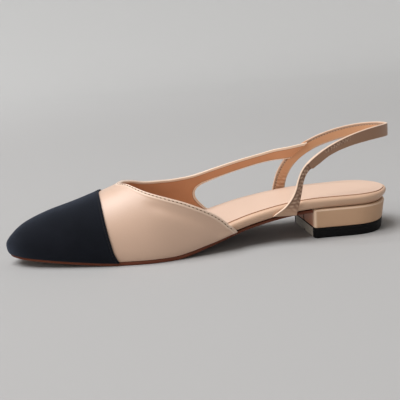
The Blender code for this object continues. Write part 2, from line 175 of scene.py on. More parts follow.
def stationAngle(x):  # stations close up at the round ends of toe and heel
    share = (np.asarray(x, float) - lastShape["toeTip"]) / (lastShape["heelBack"] - lastShape["toeTip"])
    return np.arccos(np.clip(1 - 2 * share, -1, 1))


def stationX(angle):
    return lastShape["toeTip"] + (lastShape["heelBack"] - lastShape["toeTip"]) * (1 - np.cos(angle)) / 2


def along(rows, column, x):
    return smooth(stationAngle(rows["x"]), rows[column], stationAngle(x))


def seatHeight(x):
    return smooth(seat["x"], seat["height"], x)


def lastPoint(x, girth):  # girth -1 near feather line, 0 crest, 1 far feather line
    x, girth = np.broadcast_arrays(np.asarray(x, float), np.asarray(girth, float))
    swell, tuckAngle = lastShape["swell"], lastShape["tuckAngle"]
    share = np.abs(girth)
    half = np.where(girth < 0, -along(plan, "near", x), along(plan, "far", x))
    lean = along(ridge, "lean", x)
    feather = seatHeight(x)
    growth = np.sqrt(np.maximum(x - lastShape["toeTip"], 0) / lastShape["growthLength"])
    widest = feather + lastShape["widestRise"] + lastShape["widestGrowth"] * np.minimum(1, growth)
    turn = (1 - np.minimum(share, swell) / swell) * math.pi / 2
    yOver = lean + (half - lean) * np.cos(turn) ** (2 / lastShape["crown"])
    zOver = widest + (along(ridge, "height", x) - widest) * np.sin(turn)
    roll = np.maximum(share - swell, 0) / (1 - swell) * tuckAngle
    beside = np.minimum(1, np.abs(half) / lastShape["fullBreadth"])
    under = (1 - np.cos(roll)) / (1 - math.cos(tuckAngle))
    yUnder = half - lastShape["tuck"] * beside * np.sign(half) * under
    zUnder = widest - (widest - feather) * np.sin(roll) / math.sin(tuckAngle)
    y = np.where(share <= swell, yOver, yUnder)
    z = np.where(share <= swell, zOver, zUnder)
    return np.stack([x + lastShape["toeTuck"] * (1 - beside) * under, y, z], -1)


def planEdge(inset, count, nearFrom=None, nearTo=None, farFrom=None, farTo=None):
    toe, heel, step = lastShape["toeTip"], lastShape["heelBack"], lastShape["slopeStep"]
    ends = ("near", -1, nearFrom or toe, nearTo or heel), ("far", 1, farFrom or toe, farTo or heel)
    sides = []
    for column, side, start, end in ends:
        angle = np.linspace(stationAngle(start), stationAngle(end), count)
        x = stationX(angle)
        before, after = stationX(np.maximum(angle - step, 0)), stationX(np.minimum(angle + step, math.pi))
        runX = after - before
        runY = side * (along(plan, column, after) - along(plan, column, before))
        run = np.hypot(runX, runY)
        depth = inset(x) if callable(inset) else inset
        y = side * along(plan, column, x)
        sides.append(np.stack([x + depth * side * runY / run, y - depth * side * runX / run], -1))
    for end in (0, -1):  # both sides meet on the axis at toe and heel
        if np.linalg.norm(sides[0][end] - sides[1][end]) < lastShape["meeting"]:
            sides[0][end] = sides[1][end] = (sides[0][end] + sides[1][end]) / 2
    return sides


# sheets, rims and shells

def gridFaces(rows, columns, first=0):
    r, c = np.meshgrid(np.arange(rows - 1), np.arange(columns - 1), indexing="ij")
    a = (first + r * columns + c).ravel()
    return np.column_stack([a, a + 1, a + columns + 1, a + columns])


def tubeFaces(rings, size, first=0):
    r, k = np.meshgrid(np.arange(rings - 1), np.arange(size), indexing="ij")
    a = (first + r * size + k).ravel()
    b = (first + r * size + (k + 1) % size).ravel()
    return np.column_stack([a, b, b + size, a + size])


def weld(points, faces, extras=None):  # joins points that meet, as at the toe
    keys = np.round(points * lastShape["weldsPerMm"]).astype(np.int64)
    first, place = np.unique(keys, axis=0, return_index=True, return_inverse=True)[1:]
    faces = place.ravel()[faces]
    for shift in range(3):  # slide a repeated corner to the end of its face
        same = faces[:, shift] == faces[:, shift + 1]
        faces[same, shift:] = np.column_stack([faces[same, shift + 1:], faces[same, -1]])
    wrapped = faces[:, 3] == faces[:, 0]
    faces[wrapped, 3] = faces[wrapped, 2]
    good = (faces[:, 0] != faces[:, 1]) & (faces[:, 1] != faces[:, 2]) & (faces[:, 0] != faces[:, 2])
    return points[first], faces[good], {name: value[first] for name, value in (extras or {}).items()}


def pointNormals(points, faces):
    p = points[faces]
    flat = np.cross(p[:, 2] - p[:, 0], p[:, 3] - p[:, 1])
    normals = np.zeros_like(points)
    for corner in range(4):
        np.add.at(normals, faces[:, corner], flat)
    return unit(normals)


def faceUp(points, faces, above):  # turns the faces so that the parts above a height look up
    normals = pointNormals(points, faces)
    if (normals[:, 2] * (points[:, 2] > above)).sum() < 0:
        return faces[:, ::-1], -normals
    return faces, normals


def rimEdges(faces):
    edges = np.vstack([faces[:, [i, (i + 1) % 4]] for i in range(4)])
    edges = edges[edges[:, 0] != edges[:, 1]]
    ordered = np.sort(edges, axis=1)
    place, counts = np.unique(ordered, axis=0, return_inverse=True, return_counts=True)[1:]
    return edges[counts[place.ravel()] == 1]


def withoutEdges(edges, left):  # leaves out the edges with both ends marked
    return edges[~(left[edges[:, 0]] & left[edges[:, 1]])]


def rimOutward(points, normals, edges):
    out = np.zeros_like(points)
    runs = points[edges[:, 1]] - points[edges[:, 0]]
    for end in (0, 1):
        np.add.at(out, edges[:, end], np.cross(runs, normals[edges[:, end]]))
    return unit(out)


def rimDistance(points, normals, edges):  # distance to the rim, and the rim's outward way there
    outward = rimOutward(points, normals, edges)
    shares = (0, 0.25, 0.5, 0.75)
    tree = KDTree(len(edges) * len(shares))
    ways = []
    for a, b in edges:
        for share in shares:
            tree.insert(Vector(points[a] * (1 - share) + points[b] * share), len(ways))
            ways.append(outward[a] * (1 - share) + outward[b] * share)
    tree.balance()
    found = [tree.find(Vector(p)) for p in points]
    return np.array([f[2] for f in found]), np.array([ways[f[1]] for f in found])


def drawBack(points, ways, away, roll, reach=3.0):  # makes room at the rim for its rounded edge
    return points - ways * (roll * np.clip(1 - away / reach, 0, 1))[:, None]


def shell(points, faces, wall, lift, bulge, steps=6, normals=None):  # wall inwards, rounded rim
    if normals is None:
        normals = pointNormals(points, faces)
    edges = rimEdges(faces)
    outward = rimOutward(points, normals, edges)
    count = len(points)
    outer = points + normals * lift[:, None]
    inner = points - normals * np.reshape(wall, (-1, 1))
    rim = np.unique(edges)
    place = np.full(count, -1)
    place[rim] = np.arange(len(rim))
    half = (outer[rim] - inner[rim]) / 2
    middle = (outer[rim] + inner[rim]) / 2
    rings = []
    for k in range(1, steps):
        angle = math.pi * k / steps
        rings.append(middle + half * math.cos(angle) + outward[rim] * bulge * math.sin(angle))
    verts = np.vstack([outer, inner] + rings)
    bases = [2 * count + k * len(rim) for k in range(steps - 1)]
    a, b = ([ends] + [base + place[ends] for base in bases] + [count + ends] for ends in edges.T)
    sides = [np.column_stack([b[k], a[k], a[k + 1], b[k + 1]]) for k in range(steps)]
    allFaces = np.vstack([faces, faces[:, ::-1] + count] + sides)
    source = np.concatenate([np.arange(count), np.arange(count)] + [rim] * (steps - 1))
    onRim = [np.full(len(rim), k / steps) for k in range(1, steps)]
    kind = np.concatenate([np.zeros(count), np.ones(count)] + onRim)  # 0 outside, 1 inside, rim between
    return verts, allFaces, source, kind, outer


def volume(points, faces):
    p = points[faces]
    total = np.einsum("ij,ij->i", p[:, 0], np.cross(p[:, 1], p[:, 2])).sum()
    return total + np.einsum("ij,ij->i", p[:, 0], np.cross(p[:, 2], p[:, 3])).sum()


def surfaceTree(points, faces):
    return BVHTree.FromPolygons([Vector(p) for p in points], faces.tolist())


def addObject(name, data):
    made = bpy.data.objects.new(name, data)
    bpy.context.scene.collection.objects.link(made)
    return made


def makePiece(name, verts, faces, materials, kinds=None, values=None, uv=None, sharp=None, node=None):
    mesh = bpy.data.meshes.new(name)
    if isinstance(faces, np.ndarray):
        if volume(verts, faces) < 0:
            faces = faces[:, ::-1]
        faces = [f[:3] if f[3] == f[2] else (f[1:] if f[0] == f[1] else f) for f in faces.tolist()]
    mesh.from_pydata(((verts - origin) * metres).tolist(), [], faces)
    for material in materials:
        mesh.materials.append(material)
    if kinds is not None:
        mesh.polygons.foreach_set("material_index", np.asarray(kinds, np.int32))
    for label, value in (values or {}).items():
        layer = mesh.attributes.new(label, "FLOAT", "POINT")
        layer.data.foreach_set("value", np.asarray(value, np.float32).ravel())
    if uv is not None:
        layer = mesh.uv_layers.new(name="pattern")
        corner = np.zeros(len(mesh.loops), np.int32)
        mesh.loops.foreach_get("vertex_index", corner)
        layer.data.foreach_set("uv", uv[corner].astype(np.float32).ravel())
    mesh.shade_smooth()
    if sharp:
        mesh.set_sharp_from_angle(angle=math.radians(sharp))
    mesh.update()
    piece = addObject(name, mesh)
    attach(piece, "root")
    if node:
        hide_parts(node)


# shader helpers

def addNode(tree, kind, settings=None, **inputs):
    made = tree.nodes.new(kind)
    for key, value in (settings or {}).items():
        setattr(made, key, value)
    for key, value in inputs.items():
        byNumber = key.startswith("in") and key[2:].isdigit()
        socket = made.inputs[int(key[2:]) if byNumber else key.replace("_", " ")]
        if isinstance(value, bpy.types.NodeSocket):
            tree.links.new(value, socket)
        else:
            socket.default_value = value
    return made


def mathNode(tree, operation, a, b=0.0):
    return addNode(tree, "ShaderNodeMath", {"operation": operation}, in0=a, in1=b).outputs[0]


def times(tree, a, b):
    return mathNode(tree, "MULTIPLY", a, b)


def plus(tree, a, b):
    return mathNode(tree, "ADD", a, b)


def mixColour(tree, factor, a, b):
    return addNode(tree, "ShaderNodeMix", {"data_type": "RGBA"}, in0=factor, in6=a, in7=b).outputs[2]


def colourOf(red, green, blue):  # screen colour to the shader's own
    lin = [c / 255 / 12.92 if c <= 10 else ((c / 255 + 0.055) / 1.055) ** 2.4 for c in (red, green, blue)]
    return (*lin, 1.0)


def tinted(tree, colour, mask, amount, tone):  # lays a tone over a colour where the mask is
    return mixColour(tree, times(tree, mask, amount), colour, colourOf(*tone))


def attribute(tree, label):
    return addNode(tree, "ShaderNodeAttribute", {"attribute_name": label}).outputs["Fac"]


def objectPlace(tree):
    return addNode(tree, "ShaderNodeTexCoord").outputs["Object"]


def noise(tree, scale, detail, roughness=0.5):
    return addNode(tree, "ShaderNodeTexNoise", Vector=objectPlace(tree), Scale=scale, Detail=detail,
                   Roughness=roughness).outputs


def mapRange(tree, value, low, high, toLow=0.0, toHigh=1.0, soft=False):
    kind = {"interpolation_type": "SMOOTHSTEP" if soft else "LINEAR"}
    return addNode(tree, "ShaderNodeMapRange", kind, Value=value, in1=low, in2=high, in3=toLow,
                   in4=toHigh).outputs[0]


def roughSpread(tree, shader, value, rough, by):  # a noise value spreads the roughness
    tree.links.new(mapRange(tree, value, 0.3, 0.7, rough - by, rough + by), shader.inputs["Roughness"])


def addBump(tree, shader, height, strength, distance):
    bump = addNode(tree, "ShaderNodeBump", Height=height, Strength=strength, Distance=distance)
    tree.links.new(bump.outputs[0], shader.inputs["Normal"])


def setSockets(shader, **values):
    for label, value in values.items():
        shader.inputs[label.replace("_", " ")].default_value = value


def newGroup(name, inputs, outputs):
    group = bpy.data.node_groups.new(name, "ShaderNodeTree")
    for label, value in inputs.items():
        group.interface.new_socket(label, in_out="INPUT", socket_type="NodeSocketFloat").default_value = value
    for label in outputs:
        group.interface.new_socket(label, in_out="OUTPUT", socket_type="NodeSocketFloat")
    return group, group.nodes.new("NodeGroupInput").outputs, group.nodes.new("NodeGroupOutput").inputs


def useGroup(tree, group, **inputs):
    return addNode(tree, "ShaderNodeGroup", {"node_tree": group}, **inputs).outputs


grainLook = {"warpScale": 400.0, "warp": 0.0012, "fineScale": 2600.0, "cellDepth": -0.8, "fineDepth": 0.5}


def makeGrain():  # fine pores and slow mottling of a smooth leather
    inputs = {"Cell Size": 900.0, "Mottle Size": 55.0}
    group, given, out = newGroup("leatherGrain", inputs, ("Height", "Mottle"))
    warp = noise(group, grainLook["warpScale"], 2.0)["Color"]
    bent = addNode(group, "ShaderNodeVectorMath", {"operation": "MULTIPLY_ADD"}, in0=warp,
                   in1=(grainLook["warp"],) * 3, in2=objectPlace(group)).outputs[0]
    cells = addNode(group, "ShaderNodeTexVoronoi", {"feature": "SMOOTH_F1"}, Vector=bent,
                    Scale=given["Cell Size"], Smoothness=0.6).outputs["Distance"]
    fine = noise(group, grainLook["fineScale"], 3.0)["Fac"]
    cells, fine = times(group, cells, grainLook["cellDepth"]), times(group, fine, grainLook["fineDepth"])
    group.links.new(plus(group, cells, fine), out["Height"])
    group.links.new(noise(group, given["Mottle Size"], 4.0, 0.6)["Fac"], out["Mottle"])
    return group


def makeBand():  # mask of a line at a distance from an edge
    group, given, out = newGroup("seamBand", {"Distance": 0.0, "Centre": 1.7, "Width": 0.3}, ("Mask",))
    away = mathNode(group, "ABSOLUTE", mathNode(group, "SUBTRACT", given["Distance"], given["Centre"]))
    group.links.new(mapRange(group, away, 0.0, given["Width"], 1.0, 0.0, soft=True), out["Mask"])
    return group


def makeStep():  # soft step past a distance
    group, given, out = newGroup("pastEdge", {"Distance": 0.0, "From": 1.4, "To": 1.7}, ("Mask",))
    group.links.new(mapRange(group, given["Distance"], given["From"], given["To"], soft=True), out["Mask"])
    return group


grain, seamBand, pastEdge = makeGrain(), makeBand(), makeStep()


def bandMask(tree, distance, centre, width):
    return useGroup(tree, seamBand, Distance=distance, Centre=centre, Width=width)["Mask"]


def pastMask(tree, distance, start, end):
    return useGroup(tree, pastEdge, Distance=distance, From=start, To=end)["Mask"]


def newMaterial(name):
    material = bpy.data.materials.new(name)
    material.use_nodes = True
    tree = material.node_tree
    return material, tree, tree.nodes["Principled BSDF"]


leatherLooks = {
    "upper": {"light": (205, 169, 143), "dark": (198, 161, 134), "rough": 0.55, "bump": 0.10, "cell": 900.0,
              "mottle": 45.0, "specular": 1.0, "coat": 1.0, "sheen": 0.3},
    "sling": {"light": (204, 170, 145), "dark": (197, 162, 136), "rough": 0.5, "bump": 0.10, "cell": 900.0,
              "mottle": 45.0, "specular": 0.3, "coat": 0.15, "sheen": 0.1},
    "lining": {"light": (216, 158, 118), "dark": (202, 143, 103), "rough": 0.7, "bump": 0.25, "cell": 1300.0,
               "mottle": 90.0, "specular": 0.3, "sheen": 0.1},
    "insole": {"light": (212, 177, 150), "dark": (204, 168, 140), "rough": 0.45, "bump": 0.12, "cell": 900.0,
               "mottle": 60.0},
    "sock": {"light": (216, 187, 167), "dark": (209, 179, 158), "rough": 0.55, "bump": 0.15, "cell": 1000.0,
             "mottle": 40.0},
    "heel": {"light": (201, 165, 134), "dark": (192, 155, 125), "rough": 0.5, "bump": 0.1, "cell": 900.0,
             "mottle": 60.0, "specular": 0.15},
    "outsole": {"light": (114, 69, 54), "dark": (98, 57, 44), "rough": 0.85, "bump": 0.25, "cell": 1500.0,
                "mottle": 120.0, "specular": 0.0},
}
leatherFinish = {"spread": 0.05, "bumpHeight": 0.0003, "coatRough": 0.62}


def leather(kind, recolour=None):
    look = leatherLooks[kind]
    material, tree, shader = newMaterial(kind + "Leather")
    grainOut = useGroup(tree, grain, Cell_Size=look["cell"], Mottle_Size=look["mottle"])
    colour = mixColour(tree, grainOut["Mottle"], colourOf(*look["dark"]), colourOf(*look["light"]))
    if recolour:
        colour = recolour(tree, colour)
    tree.links.new(colour, shader.inputs["Base Color"])
    roughSpread(tree, shader, grainOut["Mottle"], look["rough"], leatherFinish["spread"])
    addBump(tree, shader, grainOut["Height"], look["bump"], leatherFinish["bumpHeight"])
    setSockets(shader, Specular_IOR_Level=look.get("specular", 0.5), Sheen_Weight=look.get("sheen", 0.0),
               Coat_Weight=look.get("coat", 0.0), Coat_Roughness=leatherFinish["coatRough"])
    return material


# tone and end of the turned edge, then place, width, strength and tone of the seam beside it
# the turned edge is lifted above its leather's own tone as painted highlight; the seam tone is painted shade
# in the stitch groove
edgeTones = {
    "lining": {"turned": (242, 218, 196), "turnedTo": (1.45, 1.65), "seam": (1.75, 0.45), "amount": 0.45,
               "tone": (110, 66, 42)},
    "upper": {"turned": (224, 195, 171), "turnedTo": (2.2, 3.1), "seam": (1.4, 0.4), "amount": 0.4,
              "tone": (150, 108, 82)},
}
# strength and tone of each mask on the sling and the heel, in the order they are laid on
# on the sling: painted shade on the outer face, in the gather valleys and in the creases; painted highlight
# on the puckers
slingTones = {
    "face": (0.8, (146, 106, 79)), "gatherShade": (0.5, (96, 66, 50)), "puckerHighlight": (0.8, (232, 200, 176)),
    "creaseShade": (0.75, (84, 52, 37)),
}
slingEdges = {"pale": (0.8, (232, 206, 184)), "frontFold": (1.3, 1.5), "backFold": (0.9, 1.1),
              "lining": (204, 152, 113)}
# breast: painted warm reflected light on the breast face; edge: painted highlight; seam: the glue-dark joint
heelTones = {"breastWarmReflection": (0.8, (212, 146, 118)), "edge": (0.8, (240, 214, 188)), "seam": (0.95, (70, 24, 18))}
sockCutShadeTone = (170, 124, 96)


def edgeShade(kind):
    look = edgeTones[kind]

    def recolour(tree, colour):
        away = attribute(tree, "fromEdge")
        # turned edge: pale leather lifted as painted highlight; seam band: painted shade in the groove
        colour = mixColour(tree, pastMask(tree, away, *look["turnedTo"]), colourOf(*look["turned"]), colour)
        return tinted(tree, colour, bandMask(tree, away, *look["seam"]), look["amount"], look["tone"])

    return recolour


def layTones(tree, colour, tones):
    for label, (amount, tone) in tones.items():
        colour = tinted(tree, colour, attribute(tree, label), amount, tone)
    return colour


def slingColours(tree, colour):  # tan lining on the foot side; painted highlight on the puckers, painted shade in the folds between
    inner = times(tree, pastMask(tree, attribute(tree, "fromEdge"), *slingEdges["frontFold"]),
                  pastMask(tree, attribute(tree, "fromBack"), *slingEdges["backFold"]))
    inner = times(tree, inner, attribute(tree, "inside"))
    inner = mathNode(tree, "MAXIMUM", inner, attribute(tree, "joint"))
    # pale edge paint on the rolled front edge, lifted further as painted highlight
    colour = tinted(tree, colour, attribute(tree, "pale"), *slingEdges["pale"])
    colour = mixColour(tree, inner, colour, colourOf(*slingEdges["lining"]))
    return layTones(tree, colour, slingTones)


def sockEdgeShade(tree, colour):  # cut edge of the cover panel darkened: painted shade of the thin gap against the rim, over the raw edge's own tone
    return mixColour(tree, attribute(tree, "cut"), colour, colourOf(*sockCutShadeTone))


def heelSeamShade(tree, colour):  # painted highlight along the top edge and front corners, painted warm reflected light on the breast, glue-dark where the cover's ends meet
    return layTones(tree, colour, heelTones)


upperLeather = leather("upper", edgeShade("upper"))  # paler on the turned edge, partly as painted highlight; painted shade in the stitch groove
liningLeather = leather("lining", edgeShade("lining"))  # outer leather turned over the edge, paler still as painted highlight, then a painted shade line, then tan
slingLeather = leather("sling", slingColours)
insoleLeather = leather("insole")
sockLeather = leather("sock", sockEdgeShade)
heelLeather = leather("heel", heelSeamShade)
soleLeather = leather("outsole")

clothLook = {
    "colour": (23, 25, 31), "thread": (13, 15, 19), "ribPitch": 0.55, "crossPitch": 0.4, "ribShare": 0.6,
    "crossShare": 0.4, "fuzzScale": 1800.0, "fuzzShare": 0.8, "patchScale": 70.0, "weaveTone": 0.2,
    "toneRange": (0.5, 1.5), "bumpHeight": 0.00012,
    "rough": 0.85, "bump": 0.35, "sheen": 0.3, "sheenRough": 0.45, "sheenTint": (158, 171, 200),
    "specular": 0.06,
}


def makeCloth():  # fine ribbed cloth: ribs across the toe, crossed by thinner threads
    look = clothLook
    material, tree, shader = newMaterial("capCloth")
    uv = addNode(tree, "ShaderNodeUVMap", {"uv_map": "pattern"}).outputs["UV"]
    parts = addNode(tree, "ShaderNodeSeparateXYZ", Vector=uv).outputs
    ribs, threads = (mathNode(tree, "SINE", times(tree, part, 2 * math.pi / look[pitch]))
                     for part, pitch in ((parts[0], "ribPitch"), (parts[1], "crossPitch")))
    crossed = times(tree, times(tree, ribs, threads), look["crossShare"])
    weave = plus(tree, times(tree, ribs, look["ribShare"]), crossed)
    fuzz = noise(tree, look["fuzzScale"], 3.0)["Fac"]
    patches = noise(tree, look["patchScale"], 3.0)["Fac"]
    tone = plus(tree, times(tree, weave, look["weaveTone"]), plus(tree, fuzz, patches))
    dark, light = colourOf(*look["thread"]), colourOf(*look["colour"])
    colour = mixColour(tree, mapRange(tree, tone, *look["toneRange"]), dark, light)
    tree.links.new(colour, shader.inputs["Base Color"])
    height = plus(tree, weave, times(tree, fuzz, look["fuzzShare"]))
    addBump(tree, shader, height, look["bump"], look["bumpHeight"])
    setSockets(shader, Roughness=look["rough"], Specular_IOR_Level=look["specular"],
               Sheen_Weight=look["sheen"], Sheen_Roughness=look["sheenRough"],
               Sheen_Tint=colourOf(*look["sheenTint"]))
    return material


rubberLooks = {
    "blackRubber": {"low": (7, 7, 8), "high": (12, 12, 13), "rough": 0.55, "bump": 0.3, "specular": 0.15},
    # breast face of the top piece: grey of cut rubber, made paler still as painted light where it sits in
    # shade
    "cutAndLitRubber": {"low": (168, 162, 152), "high": (188, 182, 172), "rough": 0.75, "bump": 0.6,
                  "specular": 0.3},
}
rubberFinish = {"speckScale": 1400.0, "patchScale": 160.0, "spread": 0.08, "bumpHeight": 0.0002}
threadLooks = {
    "paleThread": {"colour": (228, 202, 178), "specular": 0.5},
    "blackThread": {"colour": (46, 43, 44), "specular": 0.2},
    "holeShadow": {"colour": (104, 62, 40), "specular": 0.0},
}
threadFinish = {"strandScale": 3000.0, "strandTone": 0.75, "rough": 0.65}


def makeRubber(name):
    look, finish = rubberLooks[name], rubberFinish
    material, tree, shader = newMaterial(name)
    speck = noise(tree, finish["speckScale"], 4.0)["Fac"]
    patches = noise(tree, finish["patchScale"], 2.0)["Fac"]
    colour = mixColour(tree, patches, colourOf(*look["low"]), colourOf(*look["high"]))
    tree.links.new(colour, shader.inputs["Base Color"])
    roughSpread(tree, shader, speck, look["rough"], finish["spread"])
    addBump(tree, shader, speck, look["bump"], finish["bumpHeight"])
    setSockets(shader, Specular_IOR_Level=look["specular"])
    return material


def makeThread(name):
    look, finish = threadLooks[name], threadFinish
    material, tree, shader = newMaterial(name)
    dark = [c * finish["strandTone"] for c in look["colour"]]  # between the thread's strands
    strands = noise(tree, finish["strandScale"], 1.0)["Fac"]
    colour = mixColour(tree, strands, colourOf(*dark), colourOf(*look["colour"]))
    tree.links.new(colour, shader.inputs["Base Color"])
    setSockets(shader, Roughness=finish["rough"], Specular_IOR_Level=look["specular"])
    return material


capCloth = makeCloth()
blackRubber, cutAndLitRubber = (makeRubber(name) for name in rubberLooks)
paleThread, blackThread, holeShadow = (makeThread(name) for name in threadLooks)
print("materials ready")


# stitches: short threads that dive into the leather, with a dark disc as painted shade in the needle hole
# between them

stitchMesh = {"rings": 6, "sides": 6, "holeSides": 8}


def readAlong(marks, run, values):  # rows of values along a line, read at the marks
    return np.column_stack([np.interp(marks, run, values[:, i]) for i in range(3)])


def turnsOf(sides):
    turn = 2 * math.pi * np.arange(sides) / sides
    return np.cos(turn)[:, None], np.sin(turn)[:, None]


def stitchRow(name, path, normals, look, thread, holeShade):
    run = np.concatenate([[0], np.cumsum(np.linalg.norm(np.diff(path, axis=0), axis=1))])
    rings, sides, holeSides = (stitchMesh[k] for k in ("rings", "sides", "holeSides"))
    reach = np.linspace(-0.5, 0.5, rings)
    cosines, sines = turnsOf(sides)
    holeCosines, holeSines = turnsOf(holeSides)
    verts, faces, spots, spotFaces = [], [], [], []
    for k in range(int(run[-1] / look["pitch"])):
        marks = (k + 0.5) * look["pitch"] + reach * look["length"]
        at, up = readAlong(marks, run, path), unit(readAlong(marks, run, normals))
        way = unit(np.gradient(at, axis=0))
        beside = np.cross(way, up)
        first = len(verts)
        for j, arch in enumerate(np.cos(reach * math.pi)):
            centre = at[j] + up[j] * (arch * look["rise"] - look["sink"])
            verts += list(centre + look["radius"] * (beside[j] * cosines + up[j] * sines))
        faces += tubeFaces(rings, sides, first).tolist()
        faces.append(list(range(first, first + sides))[::-1])
        faces.append(list(range(first + (rings - 1) * sides, first + rings * sides)))
        if not holeShade:
            continue
        # a dark disc in the needle hole: painted shade
        spot = [k * look["pitch"]]
        centre, lift = readAlong(spot, run, path)[0], unit(readAlong(spot, run, normals)[0])
        ahead, cross = way[0] * look["holeLength"] / 2, np.cross(way[0], lift) * look["holeWidth"] / 2
        first = len(spots)
        spots += [centre + lift * look["holeRise"], centre - lift * look["holeRise"]]
        spots += list(centre + ahead * holeCosines + cross * holeSines)
        for s in range(holeSides):
            a, b = first + 2 + s, first + 2 + (s + 1) % holeSides
            spotFaces += [[first, b, a], [first + 1, a, b]]
    makePiece(name, np.array(verts), faces, [thread])
    if holeShade:
        makePiece(name + "HoleShade", np.array(spots), spotFaces, [holeShade])


def seamPath(x, girth, distance, tree):  # line on a surface at a distance from its edge
    stepX, stepGirth = 0.1, 0.002
    edge = lastPoint(x, girth)
    normal = np.cross(lastPoint(x - stepX, girth) - edge, lastPoint(x, girth + stepGirth) - edge)
    side = distance * unit(np.cross(normal, np.gradient(edge, axis=0)))
    lines = [[tree.find_nearest(Vector(point)) for point in edge + turn * side] for turn in (1, -1)]
    hits = min(lines, key=lambda line: sum(hit[3] for hit in line))  # the side where there is leather
    return np.array([hit[0] for hit in hits]), np.array([hit[1] for hit in hits])


# upper: vamp with its outer strap, one folded-edge sheet with a tan lining

upperSizes = {
    "wall": 1.8, "rimWall": (1.0, 1.7), "skive": 5.0, "edgeRoll": 0.3, "roundOver": (0.5, 0.8),
    "farRim": (-0.1, 0.15),  # girths over which the rim grows fuller to the far side
    "foldLift": 0.3, "foldWidth": 2.8, "foldFade": 0.8, "foldEnd": (0.86, 0.97),
    "groove": 0.3, "grooveWidth": 0.35, "stitchLine": 1.4,
    "troughDepth": 1.1, "troughLine": 7.5, "troughWidth": 3.4,
    "troughGirth": (0.3, 0.5), "troughEnd": (0.86, 0.98), "troughStart": (88, 100),
    "strapRoot": 133.9, "strapEnds": (208.5, 196.5), "plainEnd": 0.2, "strapSink": 1.8,
    "sinkFrom": (182, 197),
    "lowFold": 1.1, "lowFoldFrom": (128, 158), "lowFoldGirth": (0.59, 0.61), "liningFrom": 0.55,
    "pieces": 5, "capRows": 56, "vampRows": 34, "edgeRows": 16, "edgeReach": 5.0, "strapRows": 150,
    "strapColumns": 26,
}
girthColumns = {
    "near": (1, 0.94, 0.88, 0.82, 0.76, 0.69, 0.62, 0.55, 0.48, 0.41, 0.34, 0.26, 0.18, 0.09, 0),
    "far": (0, 0.08, 0.16, 0.24, 0.305, 0.36, 0.4, 0.435, 0.465, 0.495, 0.5125, 0.5255),
    "side": (0.63, 0.64, 0.66, 0.69, 0.72, 0.76, 0.82, 0.88, 0.94, 1),
}


def onLine(line, girth):
    return smooth(line["girth"], line["x"], girth)


def onStrap(edge, x):
    return smooth(outerStrap["x"], outerStrap[edge], x)


def strapShares():  # closer together at the strap's two edges
    return (1 - np.cos(np.linspace(0, math.pi, upperSizes["strapColumns"] + 1))) / 2


def vampColumns():
    near, far, side = (refine(girthColumns[k], upperSizes["pieces"]) for k in ("near", "far", "side"))
    far = far[1:]
    root = outerStrap["top"][0], outerStrap["bottom"][0]
    strap = between(root, strapShares())[1:-1]
    girth = np.concatenate([-near, far, strap, side])
    strapX = np.interp(strap, root, (farTopline["x"][-1], cutOutFront["x"][0]))
    end = [onLine(nearTopline, near), onLine(farTopline, far), strapX, onLine(cutOutFront, side)]
    return girth, onLine(capLine, np.abs(girth)), np.concatenate(end), len(near) + len(far) - 1


def strapGrid():
    share = strapShares()
    root, ends = upperSizes["strapRoot"], between(upperSizes["strapEnds"], share)  # cut on the slant
    x = root + (ends - root) * np.linspace(0, 1, upperSizes["strapRows"] + 1)[1:, None]
    return x, between((onStrap("top", x), onStrap("bottom", x)), share)


def vampSheet():  # the cut pattern on the last: cap part, vamp, edge rows, then the outer strap
    girth, cap, end, strapFirst = vampColumns()
    toe, reach = lastShape["toeTip"], upperSizes["edgeReach"]
    underCap = 1 - np.cos(np.linspace(0, math.pi / 2, upperSizes["capRows"] + 1))[:, None]
    behind, atEdge = (np.linspace(0, 1, upperSizes[k] + 1)[1:, None] for k in ("vampRows", "edgeRows"))
    rows = toe + (cap - toe) * underCap, cap + (end - reach - cap) * behind, end - reach + reach * atEdge
    x = np.vstack(rows)
    g = np.broadcast_to(girth, x.shape)
    strapX, strapG = strapGrid()
    lastRow = (x.shape[0] - 1) * x.shape[1] + strapFirst + np.arange(strapX.shape[1])
    firstRow = x.size + np.arange(strapX.shape[1])
    bridge = np.column_stack([lastRow[:-1], lastRow[1:], firstRow[1:], firstRow[:-1]])
    faces = np.vstack([gridFaces(*x.shape), bridge, gridFaces(*strapX.shape, x.size)])
    points = np.vstack([lastPoint(x, g).reshape(-1, 3), lastPoint(strapX, strapG).reshape(-1, 3)])
    extras = {"girth": np.append(g, strapG), "x": np.append(x, strapX)}
    return weld(points, faces, extras)


